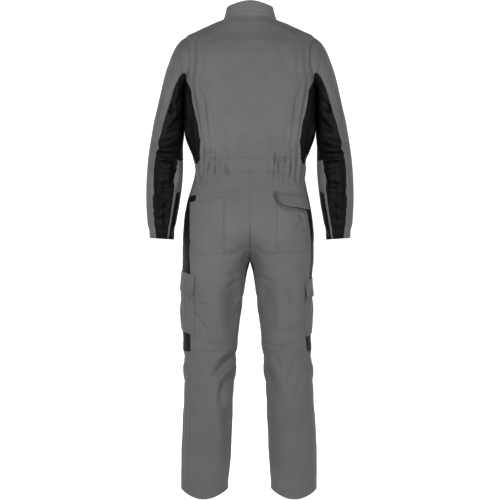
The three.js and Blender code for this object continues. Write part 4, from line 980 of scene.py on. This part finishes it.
def wedge_angle(row):
    share = np.clip((row - WEDGE_TOP_ROW) / (WEDGE_CORNER_ROW - WEDGE_TOP_ROW), 0, 1)
    upper = mix(SLEEVE_FRONT_SEAM, WEDGE_CORNER_ANGLE, share)
    lower = mix(WEDGE_CORNER_ANGLE, 131, (row - WEDGE_CORNER_ROW) / (CUFF_ROW - WEDGE_CORNER_ROW))
    return np.where(row <= WEDGE_CORNER_ROW, upper, lower)


def place_sleeve(start, end, low, high):
    def place(s, t):
        row = mix(low, high, t)
        return mix(start(row), end(row), s), row + 0 * s
    return place


def place_wedge(s, t):
    level = mix(WEDGE_CORNER_ROW, CUFF_ROW, t)
    angle = mix(wedge_angle(level), SLEEVE_FRONT_SEAM, s)
    start = mix(WEDGE_TOP_ROW, WEDGE_CORNER_ROW,
                (SLEEVE_FRONT_SEAM - angle) / (SLEEVE_FRONT_SEAM - WEDGE_CORNER_ANGLE))
    return angle, mix(np.minimum(start, WEDGE_CORNER_ROW), CUFF_ROW, t)


# Materials


def feed(tree, node, **inputs):
    """Sets a node's inputs to values or to the sockets given; "_" in a name is a space."""
    for name, value in inputs.items():
        socket = node.inputs[name.replace("_", " ")]
        if isinstance(value, bpy.types.NodeSocket):
            tree.links.new(value, socket)
        else:
            socket.default_value = value
    return node


def add_node(tree, kind, **inputs):
    return feed(tree, tree.nodes.new("ShaderNode" + kind), **inputs)


def new_material(name):
    material = bpy.data.materials.new(name)
    material.use_nodes = True
    tree = material.node_tree
    place = tree.nodes.new("ShaderNodeTexCoord").outputs["Object"]
    return material, tree, tree.nodes["Principled BSDF"], place


def two_colours(tree, value, start, dark, end, light):
    ramp = add_node(tree, "ValToRGB", Fac=value)
    for element, place, colour in zip(ramp.color_ramp.elements, (start, end), (dark, light)):
        element.position, element.color = place, (*colour, 1)
    return ramp.outputs["Color"]


def cloth_material(name, dark, light, sheen, specular, smoothest):
    """Twill cotton: diagonal weave, flecked yarns, slubs and a little wear in the colour."""
    material, tree, shader, place = new_material(name)
    uv = tree.nodes.new("ShaderNodeUVMap")
    uv.uv_map = "weave"
    twill = add_node(tree, "TexWave", Scale=330, Distortion=1.2, Detail=1.0, Vector=uv.outputs[0])
    twill.wave_type, twill.bands_direction = "BANDS", "DIAGONAL"
    stretched = add_node(tree, "Mapping", Scale=(2600, 420, 1), Vector=uv.outputs[0])
    yarn = add_node(tree, "TexNoise", Scale=1.0, Detail=2.0, Vector=stretched.outputs[0])
    wear = add_node(tree, "TexNoise", Scale=13, Detail=5.0, Roughness=0.62, Vector=place)

    def combined(operation, first, second):
        node = tree.nodes.new("ShaderNodeMath")
        node.operation = operation
        for socket, value in zip(node.inputs, (first, second)):
            if isinstance(value, float):
                socket.default_value = value
            else:
                tree.links.new(value, socket)
        return node.outputs[0]

    fleck, cord, patch = (combined("MULTIPLY", noise.outputs["Fac"], share)
                          for noise, share in ((yarn, 0.5), (twill, 0.22), (wear, 0.42)))
    blend = combined("ADD", combined("ADD", fleck, cord), patch)
    rough = add_node(tree, "MapRange", To_Min=smoothest, To_Max=smoothest + 0.15,
                     Value=wear.outputs["Fac"])

    # Small soft rumples of the cloth under the weave's own relief
    rumple = add_node(tree, "TexNoise", Scale=46, Detail=3.0, Distortion=0.8, Vector=place)
    soft = add_node(tree, "Bump", Strength=0.5, Distance=0.0016, Height=rumple.outputs["Fac"])
    weave = add_node(tree, "Bump", Strength=0.35, Distance=0.00016, Normal=soft.outputs[0],
                     Height=combined("ADD", twill.outputs["Fac"], fleck))
    feed(tree, shader, Specular_IOR_Level=specular, Sheen_Weight=sheen, Sheen_Roughness=0.45,
         Base_Color=two_colours(tree, blend, 0.3, dark, 0.85, light), Normal=weave.outputs[0])
    shader.inputs["Roughness"].default_value = 0.86
    tree.links.new(rough.outputs[0], shader.inputs["Roughness"])
    return material


def plain_material(name, dark, light, scale, roughness, metallic=0.0):
    material, tree, shader, place = new_material(name)
    noise = add_node(tree, "TexNoise", Scale=scale, Detail=4.0, Vector=place).outputs["Fac"]
    rough = add_node(tree, "MapRange", To_Min=roughness - 0.08, To_Max=roughness + 0.08, Value=noise)
    raised = add_node(tree, "Bump", Distance=0.0001, Height=noise)
    feed(tree, shader, Metallic=metallic, Roughness=rough.outputs[0], Normal=raised.outputs[0],
         Base_Color=two_colours(tree, noise, 0.3, dark, 0.7, light))
    return material


grey_cloth = cloth_material("grey twill", (0.0535, 0.0538, 0.0541), (0.092, 0.0924, 0.0928), 0.05,
                            0.12, 0.78)
black_cloth = cloth_material("black twill", (0.0008, 0.0008, 0.0009), (0.0032, 0.0032, 0.0034), 0.0,
                             0.07, 0.5)
grey_thread = plain_material("grey thread", (0.062, 0.063, 0.065), (0.115, 0.116, 0.118), 900, 0.7)
black_thread = plain_material("black thread", (0.009, 0.009, 0.010), (0.022, 0.022, 0.024), 900, 0.7)
steel = plain_material("brushed steel", (0.36, 0.37, 0.38), (0.55, 0.56, 0.57), 320, 0.34, 1.0)
tape_cloth = plain_material("zip tape", (0.05, 0.051, 0.054), (0.09, 0.091, 0.095), 1400, 0.8)


# All the panels: name, cloth, place, form, edges, what it meets, and what sets it apart

SEAMS = "seam seam seam seam"
add_panel("back", grey_cloth, place_back, body, 1, "felled felled seam seam", "collar", step=3.6)
add_panel("collar", grey_cloth, place_collar, collar_surface, 1, "free free seam free", "back",
          step=3.4, slack=0.3, extra=collar_roll, thick=COLLAR_CLOTH)
add_panel("waist_casing", grey_cloth, place_casing, body, 1, "seam seam double double", "back",
          step=3.0, slack=0.4, held="gathered", ease=WAIST_EASE, extra=casing_puff)


def behind(row):
    return SLEEVE_SEAMS(row)["behind"]


def strip_edge(row):
    return SLEEVE_SEAMS(row)["strip"]


for sign in BOTH:
    leg, sleeve = LEG_SURFACE[sign], SLEEVE_SURFACE[sign]
    laid = {"step": 3.6, "held": "laid"}
    for name, cloth, place, form, edges, meets, apart in (
            ("front", grey_cloth, place_front(sign), body, "felled free seam seam", "collar", {}),
            ("side", black_cloth, place_side(sign), body, SEAMS, "back", {}),
            ("waistband", grey_cloth, place_waistband(sign), body, "seam free double double",
             "front", {"slack": 0.4}),
            ("yoke", grey_cloth, place_yoke(sign), leg, "seam seam double seam", "waist_casing",
             {"slack": 0.6}),
            ("leg_back_upper", grey_cloth, place_leg(sign, "back", KNEE_SEAM, YOKE_SIDE), leg,
             "seam felled felled seam", "yoke", {"step": 3.8, "extra": seat_cleft}),
            ("leg_back_lower", grey_cloth, place_leg(sign, "back", 0, KNEE_SEAM), leg,
             "seam felled hem seam", "leg_back_upper", {}),
            ("leg_side_upper", black_cloth, place_leg(sign, "side", KNEE_SEAM, YOKE_SIDE), leg,
             SEAMS, "yoke", {}),
            ("leg_side_lower", grey_cloth, place_leg(sign, "side", 0, KNEE_SEAM), leg,
             "seam seam hem seam", "leg_side_upper", {}),
            ("leg_front", grey_cloth, place_leg(sign, "front", 0, WAIST_BOTTOM_SIDE), leg,
             "felled seam hem seam", "waistband", {}),
            ("pocket_back", grey_cloth, place_back_pocket(sign), leg, "free free free free",
             "leg_back_upper", {"lift": pocket_lift, "extra": under_flap, **laid}),
            ("cargo_pocket", grey_cloth, place_cargo(sign, False), leg, "free free free free",
             "leg_side_upper", {"lift": cargo_lift, **laid}),
            ("cargo_flap", grey_cloth, place_cargo(sign, True), leg, "free free free seam",
             "leg_side_upper", {"lift": cargo_flap_lift, **laid}),
            ("sleeve_top", grey_cloth,
             place_sleeve(lambda row: SLEEVE_FRONT_SEAM - 360 + 0 * row, behind, 0, CUFF_ROW),
             sleeve, "felled felled fine hem", "back", {}),
            ("sleeve_under", black_cloth,
             place_sleeve(behind, lambda row: SLEEVE_FRONT_SEAM + 0 * row, 0, ELBOW_ROW),
             sleeve, "seam seam fine seam", "back", {}),
            ("forearm_back", black_cloth, place_sleeve(behind, strip_edge, ELBOW_ROW, CUFF_ROW),
             sleeve, "seam seam seam hem", "sleeve_under", {}),
            ("forearm_strip", grey_cloth, place_sleeve(strip_edge, wedge_angle, ELBOW_ROW, CUFF_ROW),
             sleeve, "felled felled seam hem", "sleeve_under", {}),
            ("forearm_wedge", black_cloth, place_wedge, sleeve, "seam seam seam hem",
             "forearm_strip", {})):
        met = meets if meets in PANELS else f"{meets}_{SIDE[sign]}"
        add_panel(f"{name}_{SIDE[sign]}", cloth, place, form, sign, edges, met, **apart)
add_panel("pocket_flap_right", grey_cloth, place_flap, LEG_SURFACE[1], 1, "free free free seam",
          "leg_back_upper_right", step=3.6, lift=flap_lift, held="laid")


# Stitching

THREAD_PITCH, THREAD_LENGTH, THREAD_RADIUS = 3.1, 2.3, 0.34
THREAD_SINK, THREAD_RISE = 0.1, 0.16  # how far its ends lie in the cloth and its middle above it
TACK_PITCH, TACK_HALF_WIDTH, TACK_RISE = 0.55, 0.9, 0.35


def trace(node, edge, distance, start):
    """Points along a panel at a distance in from its edge, with their outward normals."""
    panel = PANELS[node]
    fields = np.concatenate([panel["points"], panel["normals"]], axis=-1)
    if edge in ("s0", "s1"):
        across = panel["across"]
        at = distance if edge == "s0" else across[:, -1] - distance
        at = np.broadcast_to(at, len(across))
        line = np.array([[np.interp(at[k], across[k], fields[k, :, c]) for c in range(6)]
                         for k in range(len(across))])
    else:
        along = panel["along"]
        at = distance if edge == "t0" else along[-1] - distance
        line = np.array([[np.interp(at, along, fields[:, k, c]) for c in range(6)]
                         for k in range(fields.shape[1])])
    line = line[int(round(start * (len(line) - 1))):]
    return line[:, :3], line[:, 3:]


def spindles(points, normals, radius=THREAD_RADIUS, pitch=THREAD_PITCH, length=THREAD_LENGTH):
    """Stitches along a line: each is two four-sided points end to end, sunk at its ends."""
    run = run_of(points)
    count = int(run[-1] // pitch)
    if count < 1:
        return np.zeros((0, 3)), np.zeros((0, 3), int)
    middle = (np.arange(count) + 0.5) * run[-1] / count

    def at(values, place):
        return np.stack([np.interp(place, run, values[:, c]) for c in range(3)], -1)
    centre, up = at(points, middle), at(normals, middle)
    ends = [at(points, middle + k * length / 2) - THREAD_SINK * up for k in (-1, 1)]
    along = ends[1] - ends[0]
    along /= np.linalg.norm(along, axis=-1, keepdims=True)
    aside = np.cross(along, up)
    aside /= np.linalg.norm(aside, axis=-1, keepdims=True)
    lift = centre + THREAD_RISE * up
    ring = [lift + radius * up * 0.8, lift + radius * aside, lift - radius * up, lift - radius * aside]
    verts = np.stack([ends[0], *ring, ends[1]], 1).reshape(-1, 3)
    shape = np.array([[0, 2, 1], [0, 3, 2], [0, 4, 3], [0, 1, 4],
                      [5, 1, 2], [5, 2, 3], [5, 3, 4], [5, 4, 1]])
    faces = (np.arange(count)[:, None, None] * 6 + shape).reshape(-1, 3)
    return verts, faces


def joined(name, parts, material):
    """One object from many (verts, faces) pairs."""
    offset, verts, faces = 0, [], []
    for points, triangles in parts:
        verts.append(points)
        faces.append(triangles + offset)
        offset += len(points)
    obj = add_object(name, np.concatenate(verts), np.concatenate(faces))
    obj.data.materials.append(material)
    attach(obj, "suit")
    return obj


def bar_tack(node, s, t, length, along_s=True):
    """A short close zigzag that holds a pocket corner."""
    panel = PANELS[node]
    rows, columns = panel["points"].shape[:2]
    k, j = int(round(t * (rows - 1))), int(round(s * (columns - 1)))
    centre, up = panel["points"][k, j], panel["normals"][k, j]
    side = panel["points"][k, min(j + 1, columns - 1)] - panel["points"][k, max(j - 1, 0)]
    if not along_s:
        side = panel["points"][min(k + 1, rows - 1), j] - panel["points"][max(k - 1, 0), j]
    side /= np.linalg.norm(side)
    cross = np.cross(side, up)
    places = np.linspace(-0.5, 0.5, int(length / TACK_PITCH))
    zig = np.array([centre + side * p * length + cross * TACK_HALF_WIDTH * (1 if n % 2 else -1)
                    for n, p in enumerate(places)]) + TACK_RISE * up
    return spindles(zig, np.tile(up, (len(zig), 1)), radius=0.3, pitch=1.9, length=2.0)


grey_rows, black_rows = [], []


def stitch(node, edges, distances, start=0.0):
    rows = black_rows if PANELS[node]["dark"] else grey_rows
    for edge in edges.split():
        rows += [spindles(*trace(node, edge, distance, start)) for distance in distances]


# Distances of the rows of stitches from the edge of a panel
EDGE, SEAM = (1.6,), (1.8,)
FELLED, DOUBLE, POCKET, HEM = (1.6, 6.4), (1.9, 8.0), (1.6, 6.0), (16,)

stitch("back", "s0 s1", FELLED)
stitch("back", "t1", SEAM)
stitch("back", "t0", EDGE)
stitch("waist_casing", "t0 t1", DOUBLE)
stitch("collar", "t1 s0 s1", (1.6, 5.2))
stitch("collar", "t0", SEAM)
for side in SIDE.values():
    for names, edges, distances, start in (
            ("front", "s0", FELLED, 0), ("front", "s1", (2.0, 6.0), 0),
            ("waistband", "t0 t1", DOUBLE, 0), ("yoke", "t0", DOUBLE, 0),
            ("leg_back_upper", "s0", EDGE, 0.02), ("leg_back_upper", "s1 t0", FELLED, 0),
            ("leg_back_lower", "s1", FELLED, 0),
            ("leg_back_lower leg_side_lower leg_front", "t0", HEM, 0),
            ("leg_front", "s0", FELLED, 0), ("side leg_side_upper", "s0 s1", SEAM, 0),
            ("pocket_back", "s0 s1 t0", POCKET, 0), ("pocket_back", "t1", (2.0, 18), 0),
            ("cargo_pocket cargo_flap", "s0 s1 t0", POCKET, 0),
            ("cargo_flap", "t1", (1.6, 5.4), 0), ("sleeve_top", "s0 s1", FELLED, 0),
            ("sleeve_top", "t0", SEAM, 0),
            ("sleeve_top forearm_back forearm_strip forearm_wedge", "t1", HEM, 0),
            ("sleeve_under forearm_back", "s0", SEAM, 0), ("sleeve_under", "t1", (1.8, 6.4), 0),
            ("forearm_strip", "s0 s1", EDGE, 0)):
        for name in names.split():
            stitch(f"{name}_{side}", edges, distances, start)
    for s, t in ((0.03, 0.97), (0.97, 0.97), (0.03, 0.03), (0.97, 0.03)):
        grey_rows.append(bar_tack(f"pocket_back_{side}", s, t, 9, False))
        grey_rows.append(bar_tack(f"cargo_flap_{side}", s, max(t, 0.1), 8))
stitch("pocket_flap_right", "s0 s1 t0 t1", POCKET)
joined("grey_stitches", grey_rows, grey_thread)
joined("black_stitches", black_rows, black_thread)

# Zip: a woven tape with interlocked teeth


def front_line(z):
    """Y of the front edge that the zip lies against."""
    if z < WAIST_BOTTOM_SIDE:
        height = np.float64(z)
        turn = crossing(1, height, ZIP_EDGE, -1)
        return float(LEG_SURFACE[1](turn, height)[1])
    if z < NECKLINE_FRONT:
        return float(body(np.float64(180), np.float64(z))[1])
    share = (z - NECKLINE_FRONT) / (COLLAR_TOP_FRONT - NECKLINE_FRONT)
    return float(collar_surface(np.float64(180), np.float64(min(share, 1)))[1])


TAPE_STEP, TAPE_WIDTH, TAPE_WALL, TAPE_BEHIND = 5.0, 6.2, 0.9, 1.7
TOOTH, TOOTH_PITCH, TOOTH_ASIDE, TOOTH_BEHIND = (2.9, 1.3, 1.05), 1.5, 0.75, 0.75
zip_heights = np.arange(ZIP_BOTTOM, COLLAR_TOP_FRONT, TAPE_STEP)
zip_y = np.array([front_line(z) for z in zip_heights])


def box(x, y, z, wide, deep, tall, tilt=0.0):
    """Corners and triangles of a small block leaning by a slope in Y over Z."""
    corners = np.array([(x + a * wide, y + b * deep + c * tall * tilt, z + c * tall)
                        for a in (-0.5, 0.5) for b in (-0.5, 0.5) for c in (-0.5, 0.5)])
    faces = np.array([(0, 1, 3), (0, 3, 2), (4, 6, 7), (4, 7, 5), (0, 4, 5), (0, 5, 1),
                      (2, 3, 7), (2, 7, 6), (0, 2, 6), (0, 6, 4), (1, 5, 7), (1, 7, 3)])
    return corners, faces


zip_tape, zip_teeth = [], []
for k in range(len(zip_heights) - 1):
    z, y = (zip_heights[k] + zip_heights[k + 1]) / 2, (zip_y[k] + zip_y[k + 1]) / 2 - TAPE_BEHIND
    slope = (zip_y[k + 1] - zip_y[k]) / TAPE_STEP
    zip_tape.append(box(0, y, z, TAPE_WIDTH, TAPE_WALL, TAPE_STEP, slope))
for k, z in enumerate(np.arange(ZIP_BOTTOM + 4, COLLAR_TOP_FRONT - 4, TOOTH_PITCH)):
    y = np.interp(z, zip_heights, zip_y) - TOOTH_BEHIND
    zip_teeth.append(box(TOOTH_ASIDE * (1 if k % 2 else -1), y, z, *TOOTH))
# The bottom stop
zip_teeth.append(box(0, zip_y[0] - 0.6, ZIP_BOTTOM + 2, 4.6, 1.1, 3))
tape = joined("zip_tape", zip_tape, tape_cloth)
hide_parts("zip_chain")
teeth = joined("zip_teeth", zip_teeth, steel)
for name in ("zip_slider", "zip_pull"):
    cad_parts[name].data.materials.clear()
    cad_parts[name].data.materials.append(steel)

# Studio and camera


def area_light(name, place, target, size, power, spread=math.pi):
    data = bpy.data.lights.new(name, "AREA")
    data.shape, data.size, data.energy, data.spread = "SQUARE", size, power, spread
    lamp = bpy.data.objects.new(name, data)
    lamp.location = place
    lamp.rotation_euler = (Vector(target) - Vector(place)).to_track_quat("-Z", "Y").to_euler()
    bpy.context.scene.collection.objects.link(lamp)


MIDDLE, LOW = (0, 0, -0.4), (0, 0, -0.6)
for row in (("key_left", (-0.78, -1.7, -0.36), (0, 0, -0.42), 0.45, 34),
            ("key_right", (0.82, -1.74, -0.36), (0, 0, -0.42), 0.45, 29),
            ("left", (-3.6, -0.4, 0.3), MIDDLE, 1.2, 26), ("right", (3.8, -0.3, 0.2), MIDDLE, 1.2, 21),
            ("front_left", (-2.4, 2.4, 0.6), LOW, 1.0, 26),
            ("front_right", (2.6, 2.2, 0.6), LOW, 1.0, 22),
            ("collar", (0, -1.1, 1.15), (0, 0, 0.12), 0.15, 0.2, math.radians(18))):
    area_light(*row)

floor_mesh = bpy.data.meshes.new("floor")
FLOOR, WALL, BEND, HALF_WIDTH = -1.536, 5, 3, 16
profile = [(-12, FLOOR), (WALL, FLOOR)]
profile += [(WALL + BEND * math.sin(a), FLOOR + BEND * (1 - math.cos(a)))
            for a in np.linspace(0, math.pi / 2, 14)[1:]]
profile.append((WALL + BEND, 11))
verts = [(x, y, z) for y, z in profile for x in (-HALF_WIDTH, HALF_WIDTH)]
faces = [(2 * k, 2 * k + 1, 2 * k + 3, 2 * k + 2) for k in range(len(profile) - 1)]
floor_mesh.from_pydata(verts, [], faces)
floor_mesh.shade_smooth()
paper = plain_material("paper", (0.60, 0.60, 0.60), (0.63, 0.63, 0.63), 3, 0.9)
# The paper glows from the suit's far side on, as if lit from beneath there
tree = paper.node_tree
split = add_node(tree, "SeparateXYZ", Vector=add_node(tree, "TexCoord").outputs["Object"])
glow = add_node(tree, "MapRange", From_Min=-0.6, From_Max=-0.05, To_Min=0.06, To_Max=0.95,
                Value=split.outputs["Y"])
feed(tree, tree.nodes["Principled BSDF"], Emission_Color=(1, 1, 1, 1),
     Emission_Strength=glow.outputs[0])
floor_mesh.materials.append(paper)
floor = bpy.data.objects.new("floor", floor_mesh)
bpy.context.scene.collection.objects.link(floor)
floor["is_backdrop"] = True

world = bpy.data.worlds.new("studio")
bpy.context.scene.world = world
world.use_nodes = True
background = world.node_tree.nodes["Background"]
background.inputs[0].default_value = (1, 1, 1, 1)
background.inputs[1].default_value = 0.16

camera_data = bpy.data.cameras.new("camera")
CAMERA_DISTANCE, CAMERA_HEIGHT, HALF_VIEW = 4.5, 0.7976, 0.8  # metres; height from the floor
camera_data.sensor_width = 36
camera_data.lens = 18 / (HALF_VIEW / CAMERA_DISTANCE)
camera = bpy.data.objects.new("camera", camera_data)
camera.location = (0, -CAMERA_DISTANCE, CAMERA_HEIGHT - NECK_HEIGHT / 1000)
camera.rotation_euler = (math.radians(90), 0, 0)
bpy.context.scene.collection.objects.link(camera)
bpy.context.scene.camera = camera
bpy.context.scene.view_settings.view_transform = "Standard"

low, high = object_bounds()
